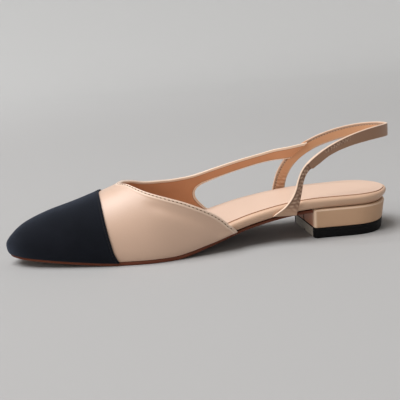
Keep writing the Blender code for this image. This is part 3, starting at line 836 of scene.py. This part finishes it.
def makeVamp():
    sizes = upperSizes
    points, faces, extras = vampSheet()
    faces, normals = faceUp(points, faces, lastShape["aboveSole"])
    girth, x = extras["girth"], extras["x"]
    onSole = np.abs(girth) > lastShape["featherGirth"]
    edges = withoutEdges(rimEdges(faces), onSole)  # the sole closes the bottom
    tip = np.interp(girth, (outerStrap["top"][-1], outerStrap["bottom"][-1]), sizes["strapEnds"])
    edges = withoutEdges(edges, x > tip - sizes["plainEnd"])  # the strap's end is cut plain
    away, ways = rimDistance(points, normals, edges)
    points = drawBack(points, ways, away, sizes["edgeRoll"])
    lift = sizes["foldLift"] * (1 - ease(sizes["foldWidth"], sizes["foldWidth"] + sizes["foldFade"], away))
    lift -= sizes["groove"] * dip(away, sizes["stitchLine"], sizes["grooveWidth"])
    lift *= 1 - ease(*sizes["foldEnd"], np.abs(girth))  # the fold thins out at the sole
    onFar = ease(*sizes["farRim"], girth)
    over, rimWall = between(sizes["roundOver"], onFar), between(sizes["rimWall"], onFar)
    lift -= over - np.sqrt(over ** 2 - np.clip(over - away, 0, over) ** 2)
    onNear = riseAndFall(sizes["troughGirth"], sizes["troughEnd"], -girth) * ease(*sizes["troughStart"], x)
    lift -= sizes["troughDepth"] * dip(away, sizes["troughLine"], sizes["troughWidth"]) * onNear
    sink = sizes["strapSink"] * ease(*sizes["sinkFrom"], x)  # the strap's end lies inside the sling
    points = points - normals * sink[:, None]
    wall = between((sizes["wall"], rimWall), 1 - ease(0, sizes["skive"], away))
    verts, allFaces, source, kind, outer = shell(points, faces, wall, lift, sizes["edgeRoll"])
    lined = (kind[allFaces].mean(axis=1) > sizes["liningFrom"]).astype(int)
    below = ease(*sizes["lowFoldFrom"], x) * ease(*sizes["lowFoldGirth"], girth)  # hardly any fold there
    inside = away + sizes["lowFold"] * below
    onFace = (kind == 0) | (kind == 1)
    values = {"fromEdge": np.where(kind == 1, inside[source], away[source]) * onFace}
    makePiece("upper_shell", verts, allFaces, [upperLeather, liningLeather], lined, values,
              node="upper")
    return surfaceTree(outer, faces)


vampSurface = makeVamp()
print("upper made")

toplineStitch = {
    "pitch": 2.6, "length": 1.5, "radius": 0.2, "rise": 0.2, "sink": 0.1,
    "holeRise": 0.22, "holeLength": 1.4, "holeWidth": 0.75,
}
stitchSpans = {"nearGirth": (0.02, 0.95, 260), "farGirth": (0.02, 0.5255, 200), "strap": (134.5, 190, 120),
               "cutOutGirth": (0.632, 0.95, 160)}  # first, last and number of places read along each line


def stitchUpper():
    near, far, strap, cutOut = (np.linspace(*span) for span in stitchSpans.values())
    back = strap[::-1]
    lines = {
        "topline_stitch_near": (onLine(nearTopline, near), -near),
        "topline_stitch_far": (np.append(onLine(farTopline, far), strap),
                               np.append(far, onStrap("top", strap))),
        "cut_out_stitch": (np.append(back, onLine(cutOutFront, cutOut)),
                           np.append(onStrap("bottom", back), cutOut)),
    }
    for name, (x, girth) in lines.items():
        path, normals = seamPath(x, girth, upperSizes["stitchLine"], vampSurface)
        stitchRow(name, path, normals, toplineStitch, paleThread, holeShadow)


stitchUpper()
print("upper stitched")


# toe cap: cloth laid over the vamp, its back edge turned under and stitched

capSizes = {
    "gap": 0.32, "thickness": 0.8, "foldLift": 0.06, "foldWidth": 3.2, "foldFade": 0.7, "groove": 0.1,
    "grooveWidth": 0.4, "stitchLine": 1.3, "edgeRoll": 0.4, "rows": 72, "edgeRows": 18, "reach": 5.0,
    "stitchSpan": (-0.97, 0.97, 300),
}
capStitch = {"pitch": 1.9, "length": 1.35, "radius": 0.17, "rise": 0.12, "sink": 0.06}


def runningLength(points, axis):
    steps = np.cumsum(np.linalg.norm(np.diff(points, axis=axis), axis=2), axis=axis)
    return np.insert(steps, 0, 0, axis=axis)


def makeCap():
    sizes = capSizes
    girth, cap = vampColumns()[:2]
    toe, reach = lastShape["toeTip"], sizes["reach"]
    front = 1 - np.cos(np.linspace(0, math.pi / 2, sizes["rows"]))[:, None]
    atEdge = np.linspace(0, 1, sizes["edgeRows"] + 1)[1:, None]
    x = np.vstack([toe + (cap - reach - toe) * front, cap - reach + reach * atEdge])
    g = np.broadcast_to(girth, x.shape)
    points = lastPoint(x, g)
    around, length = runningLength(points, 1), runningLength(points, 0)
    around -= around[:, [len(girth) // 2]]
    extras = {"girth": g.ravel(), "around": around.ravel(), "length": (length - length[-1]).ravel()}
    points, faces, extras = weld(points.reshape(-1, 3), gridFaces(*x.shape), extras)
    faces, normals = faceUp(points, faces, lastShape["aboveSole"])
    back = withoutEdges(rimEdges(faces), np.abs(extras["girth"]) > lastShape["featherGirth"])
    away, ways = rimDistance(points, normals, back)
    points = drawBack(points, ways, away, sizes["edgeRoll"]) + normals * sizes["gap"]
    fold = 1 - ease(sizes["foldWidth"], sizes["foldWidth"] + sizes["foldFade"], away)
    lift = sizes["thickness"] + sizes["foldLift"] * fold
    lift -= sizes["groove"] * dip(away, sizes["stitchLine"], sizes["grooveWidth"])
    verts, allFaces, source, kind, outer = shell(points, faces, 0.0, lift, sizes["edgeRoll"])
    uv = np.column_stack([extras["length"], extras["around"]])[source]
    makePiece("toe_cap_cloth", verts, allFaces, [capCloth], uv=uv, node="toe_cap")
    girths = np.linspace(*sizes["stitchSpan"])
    line = onLine(capLine, np.abs(girths))
    path, normals = seamPath(line, girths, sizes["stitchLine"], surfaceTree(outer, faces))
    stitchRow("cap_stitch", path, normals, capStitch, blackThread, None)


makeCap()
print("toe cap made")


# insole: board wrapped in pale leather, with a rolled edge and a shallow recess

insoleSizes = {
    "stations": 220, "rollSteps": 20, "recess": 1.2, "rimDrop": 0.3, "crest": 0.6, "valley": 0.45,
    "belly": (0.62, 0.72), "heelFrom": (188, 220), "undercut": 1.4, "valleySteps": (0.25, 0.5, 0.75, 0.92, 1),
    "valleyFoot": 0.98, "sharp": 50,
}
sockSizes = {
    "wall": 0.9, "lift": 0.15, "gap": 0.12, "round": 0.15, "crown": 0.3, "crownWidth": 9,
    "columns": 40, "edgeBulge": 0.05, "edgeSteps": 4,
}


def insoleThickness(x):
    return smooth(insoleBoard["x"], insoleBoard["thickness"], x)


def insoleInset(x):
    return smooth(insoleBoard["x"], insoleBoard["inset"], x)


def rimInset(x):
    return insoleInset(x) + smooth(insoleBoard["x"], insoleBoard["rim"], x)


def crestInset(x):  # from the insole's widest line in to the crest of its roll
    return np.minimum(insoleThickness(x) / 2, insoleSizes["crest"] * (rimInset(x) - insoleInset(x)))


def roundHeel(x):
    return ease(*insoleSizes["heelFrom"], x)


def planRing(inset, height, count, **ends):
    return [np.column_stack([side, height(side[:, 0])]) for side in planEdge(inset, count, **ends)]


def plateMesh(rings):
    count = len(rings[0][0])
    verts = np.vstack([np.vstack([near, far[::-1]]) for near, far in rings])
    size = 2 * count
    faces = [tubeFaces(len(rings), size)]
    k = np.arange(count - 1)
    for base, turn in ((0, 1), ((len(rings) - 1) * size, -1)):
        across = np.column_stack([base + k, base + k + 1, base + size - 2 - k, base + size - 1 - k])
        faces.append(across[:, ::turn])
    return weld(verts, np.vstack(faces))[:2]


def makeInsole():
    sizes = insoleSizes
    rings = []
    for turn in np.radians(np.linspace(-90, 90, sizes["rollSteps"])):
        bow, sine = 1 - math.cos(turn), math.sin(turn)

        def height(x):  # the widest line lies higher round the heel
            belly = between(sizes["belly"], roundHeel(x))
            rise = belly + sine * (belly if sine < 0 else 1 - belly)
            return seatHeight(x) + rise * (insoleThickness(x) - sizes["rimDrop"])

        def inset(x):  # a full round below, undercut round the heel; a tighter round up to the crest
            under = bow + (abs(sine) ** sizes["undercut"] - bow) * roundHeel(x)
            return insoleInset(x) + (under * insoleThickness(x) / 2 if sine < 0 else bow * crestInset(x))

        rings.append(planRing(inset, height, sizes["stations"]))
    drops = [sizes["rimDrop"] + sizes["valley"] * (1 - math.sqrt(1 - min(share, sizes["valleyFoot"]) ** 2))
             for share in sizes["valleySteps"]]
    # from the crest down to the joint with the sock, then down into the recess
    for share, drop in zip(sizes["valleySteps"] + (1,), drops + [sizes["recess"]]):
        rings.append(planRing(
            lambda x: insoleInset(x) + crestInset(x) + (rimInset(x) - insoleInset(x) - crestInset(x)) * share,
            lambda x: seatHeight(x) + insoleThickness(x) - drop, sizes["stations"],
        ))
    verts, faces = plateMesh(rings)
    makePiece("insole_wrap", verts, faces, [insoleLeather], sharp=sizes["sharp"],
              node="insole")


def makeSock():
    sizes, count = sockSizes, insoleSizes["stations"]
    near, far = planRing(lambda x: rimInset(x) + sizes["gap"],
                         lambda x: seatHeight(x) + insoleThickness(x), count)
    across = (1 - np.cos(np.linspace(0, math.pi, sizes["columns"] + 1))) / 2
    points = near[:, None, :] + (far - near)[:, None, :] * across[None, :, None]
    points, faces = weld(points.reshape(-1, 3), gridFaces(count, len(across)))[:2]
    faces, normals = faceUp(points, faces, 0)
    away, ways = rimDistance(points, normals, rimEdges(faces))
    corner = np.clip(1 - away / sizes["round"], 0, 1)
    crown = sizes["crown"] * ease(0, sizes["crownWidth"], away)
    points[:, 2] += sizes["lift"] + crown - sizes["round"] * corner ** 2
    upright = np.tile([0.0, 0.0, 1.0], (len(points), 1))
    verts, allFaces, source, kind, outer = shell(
        points, faces, sizes["wall"], np.zeros(len(points)), sizes["edgeBulge"], sizes["edgeSteps"], upright)
    # the panel's cut edge, coloured darker as painted shade of the gap against the rim
    cut = np.clip(kind * sizes["edgeSteps"], 0, 1)
    makePiece("sock_panel", verts, allFaces, [sockLeather], values={"cut": cut}, node="sock")


makeInsole()
makeSock()
print("insole and sock made")


# outsole: thin leather sheet with an eased edge

outsoleSizes = {
    "stations": 160, "back": 0.5, "sharp": 50,
    # draw-in from the widest line and share of the thickness, from the tread up round the edge
    "edge": ((0.5, 1), (0.2, 0.97), (0.04, 0.9), (0, 0.78), (0, 0.2), (0.06, 0.07), (0.3, 0)),
}
heelSizes = {
    "breastNear": 198.8, "breastFar": 197.0, "topPiece": 6.5, "inset": 3.4, "corner": 2.3, "taper": 0.9,
    "setIn": 0.5, "rake": 2.0, "stations": 120, "cornerSteps": 10, "topRound": 1.5, "lowRound": 0.8,
    "topSteps": 8, "lowSteps": 6,
    "levels": (9.0, 10.5, 12.0, 14.0), "fineBreast": (2.7, 16), "breastSteps": 9, "breastDepth": 1.6,
    "seamWidth": 0.45, "seamDepth": 0.45, "seamFlare": 1.6, "flareHeight": 2.2, "stainWidth": 1.2,
    "cornerFrom": (19, 22), "sharp": 60,
}
rubberSizes = {
    "lowRound": 0.4, "topRound": 0.3, "roundSteps": 4, "levels": (0.8, 1.2, 1.6, 1.7),
    "layerLines": (2.2, 4.3),
    # rise and draw-in of the groove at each layer line
    "layerGroove": ((-0.25, 0), (-0.1, 0.04), (0, 0.14), (0.1, 0.04), (0.25, 0)),
    "cutReach": 21.5, "cutRise": (0.15, 6.35), "notchWidth": 1.6, "notchHeight": 1.6, "notchDepth": 1.6,
    "notchSquare": 8,
}
offBreast = 99.0


def makeOutsole():
    ends = {end: heelSizes[side] - outsoleSizes["back"]
            for end, side in (("nearTo", "breastNear"), ("farTo", "breastFar"))}
    xs, insets, thickness = (outsoleSheet[k] for k in ("x", "inset", "thickness"))
    rings = []
    for draw, share in outsoleSizes["edge"]:
        rings.append(planRing(
            lambda x: smooth(xs, insets, x) + draw,
            lambda x: seatHeight(x) - lastShape["gap"] - share * smooth(xs, thickness, x),
            outsoleSizes["stations"], **ends,
        ))
    verts, faces = plateMesh(rings)
    makePiece("outsole_sheet", verts, faces, [soleLeather], sharp=outsoleSizes["sharp"],
              node="outsole")


makeOutsole()


# heel: leather-covered block and the rubber piece that it walks on

def heelRing(rise, height, easeBy):  # each side starts in the middle of the breast
    sizes = heelSizes
    inset = sizes["inset"] + sizes["taper"] * (1 - rise) + easeBy
    radius = sizes["corner"] - easeBy
    edges = planEdge(inset, sizes["stations"], nearFrom=sizes["breastNear"] + easeBy + radius,
                     farFrom=sizes["breastFar"] + easeBy + radius)
    turn = np.linspace(0, math.pi / 2, sizes["cornerSteps"] + 1)[:-1]
    corners = []
    for side, edge in zip((-1, 1), edges):
        corners.append(np.column_stack([edge[0, 0] - radius * np.cos(turn),
                                        edge[0, 1] - side * radius * (1 - np.sin(turn))]))
    middle = (corners[0][0] + corners[1][0]) / 2
    fine, fineSteps = sizes["fineBreast"]
    sides = []
    for corner, edge in zip(corners, edges):
        out = corner[0] - middle
        length = np.linalg.norm(out)
        coarse = np.linspace(fine, length, sizes["breastSteps"])[1:-1]
        steps = np.append(np.linspace(0, fine, fineSteps), coarse) / length
        edge = np.vstack([middle + out * steps[:, None], corner, edge])
        share = (edge[:, 0] - sizes["breastNear"]) / (lastShape["heelBack"] - sizes["breastNear"])
        x = edge[:, 0] - (sizes["setIn"] + sizes["rake"] * (1 - rise)) * np.clip(share, 0, 1)
        sides.append(np.column_stack([x, edge[:, 1], height(x)]))
    return sides


def levelRing(level, easeBy):
    return heelRing(level / seatHeight(lastShape["heelBack"]), lambda x: np.full_like(x, level), easeBy)


def quarter(radius, steps):  # (drop, draw-in) of an eased edge, from the side round to the flat
    turn = np.linspace(0, math.pi / 2, steps)
    return list(zip(radius * (1 - np.sin(turn)), radius * (1 - np.cos(turn))))


def onBreast(verts):  # how far a point lies from the breast's middle line; far away off the breast
    near, far = heelRing(1, seatHeight, 0)
    middle = (near[0] + far[0]) / 2
    inFront = verts[:, 0] < middle[0] + heelSizes["breastDepth"]
    return np.where(inFront, np.abs(verts[:, 1] - middle[1]), offBreast)


def makeHeel():
    sizes = heelSizes
    low = sizes["topPiece"] + lastShape["gap"]
    lowEdge = quarter(sizes["lowRound"], sizes["lowSteps"])[::-1]
    block = [levelRing(low + rise, draw) for rise, draw in lowEdge]
    block += [levelRing(level, 0) for level in sizes["levels"]]  # keeps the seam even down the breast
    for drop, draw in quarter(sizes["topRound"], sizes["topSteps"]):
        block.append(heelRing(1, lambda x: seatHeight(x) - lastShape["gap"] - drop, draw))
    verts, faces = plateMesh(block)
    aside = onBreast(verts)
    flare = 1 + sizes["seamFlare"] * (1 - ease(0, sizes["flareHeight"], verts[:, 2] - low))
    verts[:, 0] += sizes["seamDepth"] * dip(aside, 0, sizes["seamWidth"] * flare)
    roundFrom = seatHeight(verts[:, 0]) - lastShape["gap"] - sizes["topRound"]
    # painted highlight along the top round, and on the front corners below
    topEdgeHighlight = np.sin(math.pi * np.clip((verts[:, 2] - roundFrom) / sizes["topRound"], 0, 1))
    breastX = np.where(verts[:, 1] < 0, sizes["breastNear"], sizes["breastFar"])
    turn = np.arccos(np.clip((breastX + sizes["corner"] - verts[:, 0]) / sizes["corner"], 0, 1))
    corner = np.sin(2 * turn) * ease(*sizes["cornerFrom"], aside)
    # the whole breast face takes a warm tint: painted reflected warm light
    values = {"seam": dip(aside, 0, sizes["stainWidth"]), "edge": np.maximum(topEdgeHighlight, corner),
              "breastWarmReflection": aside < offBreast}
    makePiece("heel_cover", verts, faces, [heelLeather], values=values, sharp=sizes["sharp"],
              node="heel_block")


def makeTopPiece():
    sizes, top = rubberSizes, heelSizes["topPiece"]
    levels = quarter(sizes["lowRound"], sizes["roundSteps"])[::-1] + [(level, 0) for level in sizes["levels"]]
    levels += [(line + rise, draw) for line in sizes["layerLines"] for rise, draw in sizes["layerGroove"]]
    levels += [(top - drop, draw) for drop, draw in quarter(sizes["topRound"], sizes["roundSteps"])]
    verts, faces = plateMesh([levelRing(level, draw) for level, draw in levels])
    aside = onBreast(verts)
    reach, heights = aside[faces].max(axis=1), verts[faces][:, :, 2]
    low, high = sizes["cutRise"]
    # breast faces take the pale cut rubber, partly painted light
    cut = (reach < sizes["cutReach"]) & (heights.mean(axis=1) > low) & (heights.mean(axis=1) < high)
    inNotch = (reach <= sizes["notchWidth"]) & (heights.max(axis=1) <= sizes["notchHeight"] + low)
    cut &= ~inNotch  # black in the notch
    inside = verts[:, 2] < sizes["notchHeight"] + 0.01
    notch = np.exp(-((aside / sizes["notchWidth"]) ** sizes["notchSquare"])) * inside
    verts[:, 0] += sizes["notchDepth"] * notch
    makePiece("top_piece_rubber", verts, faces, [blackRubber, cutAndLitRubber], cut,
              sharp=heelSizes["sharp"], node="top_piece")


makeHeel()
makeTopPiece()
print("sole and heel made")


# sling: gathered strap from the sole, round the heel, with a smooth rolled front edge

slingSizes = {
    "thickness": 1.9, "halfWidth": 27.0, "centre": 200.0, "reach": 55.9, "steps": 720, "faceSteps": 18,
    "edgeSteps": 5, "round": 0.5, "thinning": 0.35, "thinFrom": (14, 30), "thinTo": (70, 110),
    "rollWidth": 0.35, "rollSoft": (-0.1, 0.4), "rollLift": 0.08, "grooveDepth": 0.2, "foldWidth": 1.3,
    "stitchLine": 1.75, "stitchSink": 0.15, "footTuck": 1.5, "footReach": 3.5,
    "rollGroove": (0.25, 0.25), "foldGroove": (0.25, 0.3),  # how far past the roll or fold, and how wide
}
slingPlaces = {  # lengths along the strap from its near foot
    "riserFrom": (2, 11), "riserTo": (33.5, 35.5), "lap": 36.2, "lapSoft": 0.6, "lapFade": (3, 16),
    "lapStep": 0.9, "lapLift": 0.45, "bandFrom": (47, 51), "bandTo": (62, 71), "farJoint": (166.0, 185.5),
    "jointSoft": 3, "farRuche": (189, 201), "topStitch": 84.0, "farStitch": 210.0,
}
slingShades = {
    "paleWidth": (0.6, 0.1), "paleFrom": (26, 42), "paleSoft": 0.35, "paleLoss": 0.3, "lossFrom": (30, 42),
    "faceFrom": (-4, 12), "faceLoss": 0.25, "faceLossFrom": (85, 110), "lapSlant": 0.25,
    "lapCrease": (-0.5, 0.55), "foldCrease": (0.3, 0.4), "rollCrease": (0.3, 0.3), "rollCreaseShade": 0.4,
}
slingGathers = {
    "seed": 11, "pitch": 2.7, "depth": 0.5, "farDepth": 0.6, "farShade": 0.45, "valley": 0.4,
    "sharpness": 1.5, "bandPitch": 1.9, "bandDepth": 0.34, "bandLine": 2.2, "bandHalf": 1.6,
    "bandFade": (2.8, 4.4), "riserShift": 0.3, "riserStart": 2.0,
    "rows": ((-0.35, 0.0), (0.5, 0.5)),  # place across, shift along
    # ranges drawn for each pucker
    "stray": (-0.15, 0.15), "slant": (0.0, 0.45), "reach": (0.4, 0.6), "width": (0.26, 0.38),
    "height": (0.6, 1.0), "spacing": (0.8, 1.25),
}
slingStitch = {
    "pitch": 2.0, "length": 1.3, "radius": 0.16, "rise": 0.12, "sink": 0.08,
    "holeRise": 0.1, "holeLength": 0.8, "holeWidth": 0.5,
}


def slingCourse():  # the strap's middle line, with its own three ways at every step
    rows = np.column_stack([slingLine[k] for k in "xyz"])
    chord = np.concatenate([[0], np.cumsum(np.linalg.norm(np.diff(rows, axis=0), axis=1))])
    steps = np.linspace(0, chord[-1], slingSizes["steps"])
    path = np.column_stack([smooth(chord, rows[:, k], steps) for k in range(3)])
    width, skew, lean = (smooth(chord, slingLine[k], steps)[:, None] for k in ("width", "skew", "lean"))
    lean = np.radians(lean)
    run = unit(np.gradient(path, axis=0))
    behind = np.maximum(path[:, 0] - slingSizes["centre"], 0) / slingSizes["reach"] ** 2
    face = np.column_stack([behind, path[:, 1] / slingSizes["halfWidth"] ** 2, 0 * behind])
    face = unit(face - run * (face * run).sum(1, keepdims=True))
    across = np.cross(run, face)  # from the front or top edge towards the back or bottom edge
    face, across = face * np.cos(lean) + across * np.sin(lean), across * np.cos(lean) - face * np.sin(lean)
    return steps, path, width / 2, np.tan(np.radians(skew)), run, face, across


def slingSection():  # outer face, back edge, foot-side face, front edge
    half, soft = slingSizes["thickness"] / 2, slingSizes["round"]
    flat = np.linspace(-1, 1, slingSizes["faceSteps"])
    turn = np.linspace(0, math.pi / 2, slingSizes["edgeSteps"] + 1)
    aside, depth = soft * np.sin(turn), half - soft + soft * np.cos(turn)
    aside = np.concatenate([aside, aside[::-1]])[1:-1]
    depth = np.concatenate([depth, -depth[::-1]])[1:-1]
    edge, level = np.ones(len(aside)), np.zeros(len(flat))
    place = np.concatenate([flat, edge, flat[::-1], -edge])
    aside = np.concatenate([level, aside, level, -aside])
    return place, aside, np.concatenate([level + half, depth, level - half, -depth])


def gatherRidges(s, a, half, first, last, pitch, pick):  # two staggered rows of puckers, no two alike
    draw = {k: slingGathers[k] for k in ("stray", "slant", "reach", "width", "height", "spacing")}
    height = np.zeros_like(s)
    for row, shift in slingGathers["rows"]:
        at = first + shift * pitch
        while at < last:
            middle = half * (row + pick.uniform(*draw["stray"]))
            slant = math.copysign(pick.uniform(*draw["slant"]), -row)
            reach = half * pick.uniform(*draw["reach"])
            ridge = dip(s - slant * (a - middle), at, pitch * pick.uniform(*draw["width"]))
            height = np.maximum(height, pick.uniform(*draw["height"]) * ridge * dip(a, middle, reach))
            at += pitch * pick.uniform(*draw["spacing"])
    return height


def makeSling():
    sizes, places, shades, gathers = slingSizes, slingPlaces, slingShades, slingGathers
    steps, path, breadth, skews, run, face, across = slingCourse()
    place, aside, depth = slingSection()
    half, soft, end = sizes["thickness"] / 2, sizes["round"], steps[-1]
    a = place * (breadth - soft) + aside
    s = np.broadcast_to(steps[:, None], a.shape)
    d = np.broadcast_to(depth, a.shape)
    lapAt = places["lap"]
    lapFrom = lapAt - places["lapSoft"], lapAt + places["lapSoft"]
    lap = riseAndFall(lapFrom, np.add(lapAt, places["lapFade"]), s)
    a = a + places["lapStep"] * lap * ease(0, 1, place)  # the band is wider than the riser under it
    fromEdge, fromBack = a + breadth, breadth - a
    outerSide, innerSide = (np.clip((side * d - half + soft) / soft, 0, 1) for side in (1, -1))
    thin = riseAndFall(sizes["thinFrom"], sizes["thinTo"], s)  # pulled thin on the near side
    d = d * (1 - sizes["thinning"] * thin)
    past = ease(*np.add(sizes["rollWidth"], sizes["rollSoft"]), fromEdge)
    outerFace = outerSide * past
    # gathers of the near riser, the near band's top and the far riser
    pick = np.random.default_rng(gathers["seed"])
    pitch, bandPitch, shift = gathers["pitch"], gathers["bandPitch"], gathers["riserShift"]
    riserTop, bandEnd, farStart = places["riserTo"][1], places["bandTo"][1], places["farRuche"][0]
    riser = gatherRidges(s, a - shift, breadth - shift, gathers["riserStart"], riserTop, pitch, pick)
    band = gatherRidges(s, fromEdge - gathers["bandLine"], gathers["bandHalf"], places["bandFrom"][0],
                        bandEnd, bandPitch, pick)
    far = gatherRidges(s, a, breadth, farStart, end, pitch, pick)
    onRiser = riseAndFall(places["riserFrom"], places["riserTo"], s) * outerFace
    onBand = riseAndFall(places["bandFrom"], places["bandTo"], s) * outerFace
    onBand = onBand * (1 - ease(*gathers["bandFade"], fromEdge))
    onFar = ease(*places["farRuche"], s) * (innerSide + outerSide) * past
    valley, power = gathers["valley"], gathers["sharpness"]
    swell = gathers["depth"] * (onRiser * (riser - valley) + gathers["farDepth"] * onFar * (far - valley))
    swell = swell + gathers["bandDepth"] * onBand * (band - valley)
    # painted shade in the valleys between puckers, painted highlight on their crests
    gatherShade = onRiser * (1 - riser) + onBand * (1 - band) + gathers["farShade"] * onFar * (1 - far)
    puckerHighlight = onRiser * riser ** power + onBand * band ** power + gathers["farDepth"] * onFar * far ** power
    # relief: gathers, rolled front edge, grooves beside the roll and the lining's fold, lapped end on top
    groove = sizes["grooveDepth"]
    d = d + np.sign(d) * swell
    d = d + sizes["rollLift"] * outerSide * (1 - past)
    d = d - groove * outerSide * beyond(fromEdge, sizes["rollWidth"], sizes["rollGroove"])
    d = d + groove * innerSide * beyond(fromEdge, sizes["foldWidth"], sizes["foldGroove"])
    d = d + places["lapLift"] * outerSide * lap
    # shades
    # the rolled front edge: pale edge paint, lifted further as painted highlight
    paleTo = between(shades["paleWidth"], ease(*shades["paleFrom"], s))
    pale = 1 - ease(0, shades["paleSoft"], fromEdge - paleTo)
    pale = pale * (1 - shades["paleLoss"] * ease(*shades["lossFrom"], s))
    jointFrom, jointTo = places["farJoint"]
    jointOn = jointFrom, jointFrom + places["jointSoft"]
    jointOff = jointTo - places["jointSoft"], jointTo
    joint = riseAndFall(jointOn, jointOff, s) * (1 - outerSide)
    # painted shade across the lapped end and along the grooves beside the fold and the roll
    creaseShade = beyond(s + shades["lapSlant"] * a, lapAt, shades["lapCrease"]) * outerFace
    folded = beyond(fromEdge, sizes["foldWidth"], shades["foldCrease"]) * innerSide * (1 - joint)
    rolled = beyond(fromEdge, sizes["rollWidth"], shades["rollCrease"]) * outerSide
    creaseShade = creaseShade + folded + shades["rollCreaseShade"] * rolled
    # painted shade on the outer face, less of it round the heel
    shaded = outerFace * ease(*shades["faceFrom"], s)
    shaded = shaded * (1 - shades["faceLoss"] * ease(*shades["faceLossFrom"], s))
    fromSole = np.minimum(steps, end - steps)[:, None]  # both feet turn in under the insole's roll
    path = path - face * (sizes["footTuck"] * np.clip(1 - fromSole / sizes["footReach"], 0, 1) ** 2)
    verts = path[:, None, :] + across[:, None, :] * a[..., None] + run[:, None, :] * (a * skews)[..., None]
    verts = (verts + face[:, None, :] * d[..., None]).reshape(-1, 3)
    size = a.shape[1]
    faces = tubeFaces(len(path), size)
    flip = volume(verts, faces) < 0
    caps = [list(range(size))[::-1], list(range(len(verts) - size, len(verts)))]
    faces = [f[::-1] for f in faces.tolist() + caps] if flip else faces.tolist() + caps
    values = {"fromEdge": fromEdge, "fromBack": fromBack, "inside": innerSide, "gatherShade": gatherShade,
              "puckerHighlight": puckerHighlight, "pale": pale, "joint": joint, "creaseShade": np.clip(creaseShade, 0, 1), "face": shaded}
    makePiece("sling_strap", verts, faces, [slingLeather], values=values, node="upper")
    seam = path + across * (sizes["stitchLine"] - breadth) - face * (half - sizes["stitchSink"])
    rows = {"sling_stitch_top": (places["topStitch"], jointFrom),
            "sling_stitch_far": (jointTo, places["farStitch"])}
    for name, (first, last) in rows.items():
        part = (steps > first) & (steps < last)
        stitchRow(name, seam[part], -face[part], slingStitch, paleThread, holeShadow)


makeSling()
print("sling made")


# stage: pale floor that rises into a round backdrop, soft light, and the photograph's viewpoint

stageLook = {
    "floor": (169, 168, 167), "wall": (197, 197, 196), "toneFrom": 0.4, "toneTo": 2.2, "sides": 96,
    "bendSteps": 24, "flat": (0.01, 0.3, 0.8, 1.6), "radius": 2.8, "height": 1.7, "below": 0.00005,
    "rough": 0.9, "specular": 0.1,
}
lightLook = {
    "key_softbox": {"power": 123.0, "size": 2.4, "place": (-1.35, -0.15, 2.8), "colour": (1.0, 1.01, 1.03)},
    "top_softbox": {"power": 5.0, "size": 1.8, "place": (0.6, 1.2, 2.4), "colour": (1.0, 1.0, 1.0)},
    "fill_softbox": {"power": 2.8, "size": 0.8, "place": (-1.25, -0.8, 0.3), "colour": (1.0, 0.84, 0.7)},
}
roomLook = {"colour": (1.0, 0.9, 0.8, 1.0), "strength": 0.18, "aim": (0, 0, 0.03)}
cameraLook = {"azimuth": -4.87, "elevation": 12.32, "roll": -5.06, "distance": 480.0,
              "target": (128.76, 0.0, 28.68), "lens": 65.4, "sensor": 36.0, "clip": 0.01}


def makeStage():
    look, sides = stageLook, stageLook["sides"]
    profile = [(radius, 0.0) for radius in look["flat"]]
    edge = look["flat"][-1]
    bend = look["radius"] - edge
    for turn in np.linspace(0, math.pi / 2, look["bendSteps"])[1:]:
        profile.append((edge + bend * math.sin(turn), bend * (1 - math.cos(turn))))
    profile.append((look["radius"], look["height"]))
    verts = []
    for radius, height in profile:
        for turn in (2 * math.pi * k / sides for k in range(sides)):
            verts.append((radius * math.cos(turn), radius * math.sin(turn), height - look["below"]))
    faces = [f[::-1] for f in tubeFaces(len(profile), sides).tolist()] + [list(range(sides))]
    mesh = bpy.data.meshes.new("studio_floor")
    mesh.from_pydata(verts, [], faces)
    mesh.shade_smooth()
    material, tree, shader = newMaterial("floorPaper")
    place = objectPlace(tree)
    away = addNode(tree, "ShaderNodeVectorMath", {"operation": "LENGTH"}, in0=place).outputs["Value"]
    rise = mapRange(tree, away, look["toneFrom"], look["toneTo"], soft=True)
    colour = mixColour(tree, rise, colourOf(*look["floor"]), colourOf(*look["wall"]))
    tree.links.new(colour, shader.inputs["Base Color"])
    setSockets(shader, Roughness=look["rough"], Specular_IOR_Level=look["specular"])
    mesh.materials.append(material)
    addObject("studio_floor", mesh)


def makeLight():
    for name, look in lightLook.items():
        data = bpy.data.lights.new(name, "AREA")
        data.energy, data.size, data.color = look["power"], look["size"], look["colour"]
        lamp = addObject(name, data)
        lamp.location = look["place"]
        lamp.rotation_mode = "QUATERNION"
        lamp.rotation_quaternion = (Vector(roomLook["aim"]) - Vector(look["place"])).to_track_quat("-Z", "Y")
    world = bpy.data.worlds.new("studio")
    world.use_nodes = True
    setSockets(world.node_tree.nodes["Background"], Color=roomLook["colour"], Strength=roomLook["strength"])
    bpy.context.scene.world = world
    bpy.context.scene.view_settings.view_transform = "Standard"


def makeCamera():
    azimuth, elevation, roll = (math.radians(cameraLook[k]) for k in ("azimuth", "elevation", "roll"))
    level = math.cos(elevation)
    back = Vector((math.sin(azimuth) * level, -math.cos(azimuth) * level, math.sin(elevation)))
    right = (-back).cross(Vector((0, 0, 1))).normalized()
    up = right.cross(-back)
    right, up = right * math.cos(roll) + up * math.sin(roll), up * math.cos(roll) - right * math.sin(roll)
    data = bpy.data.cameras.new("camera")
    data.lens, data.sensor_width, data.clip_start = (cameraLook[k] for k in ("lens", "sensor", "clip"))
    camera = addObject("camera", data)
    place = Matrix((right, up, back)).transposed().to_4x4()
    target = Vector(cameraLook["target"]) - Vector(origin)
    place.translation = (target + back * cameraLook["distance"]) * metres
    camera.matrix_world = place
    bpy.context.scene.camera = camera


makeStage()
makeLight()
makeCamera()
print("stage, light and camera ready")
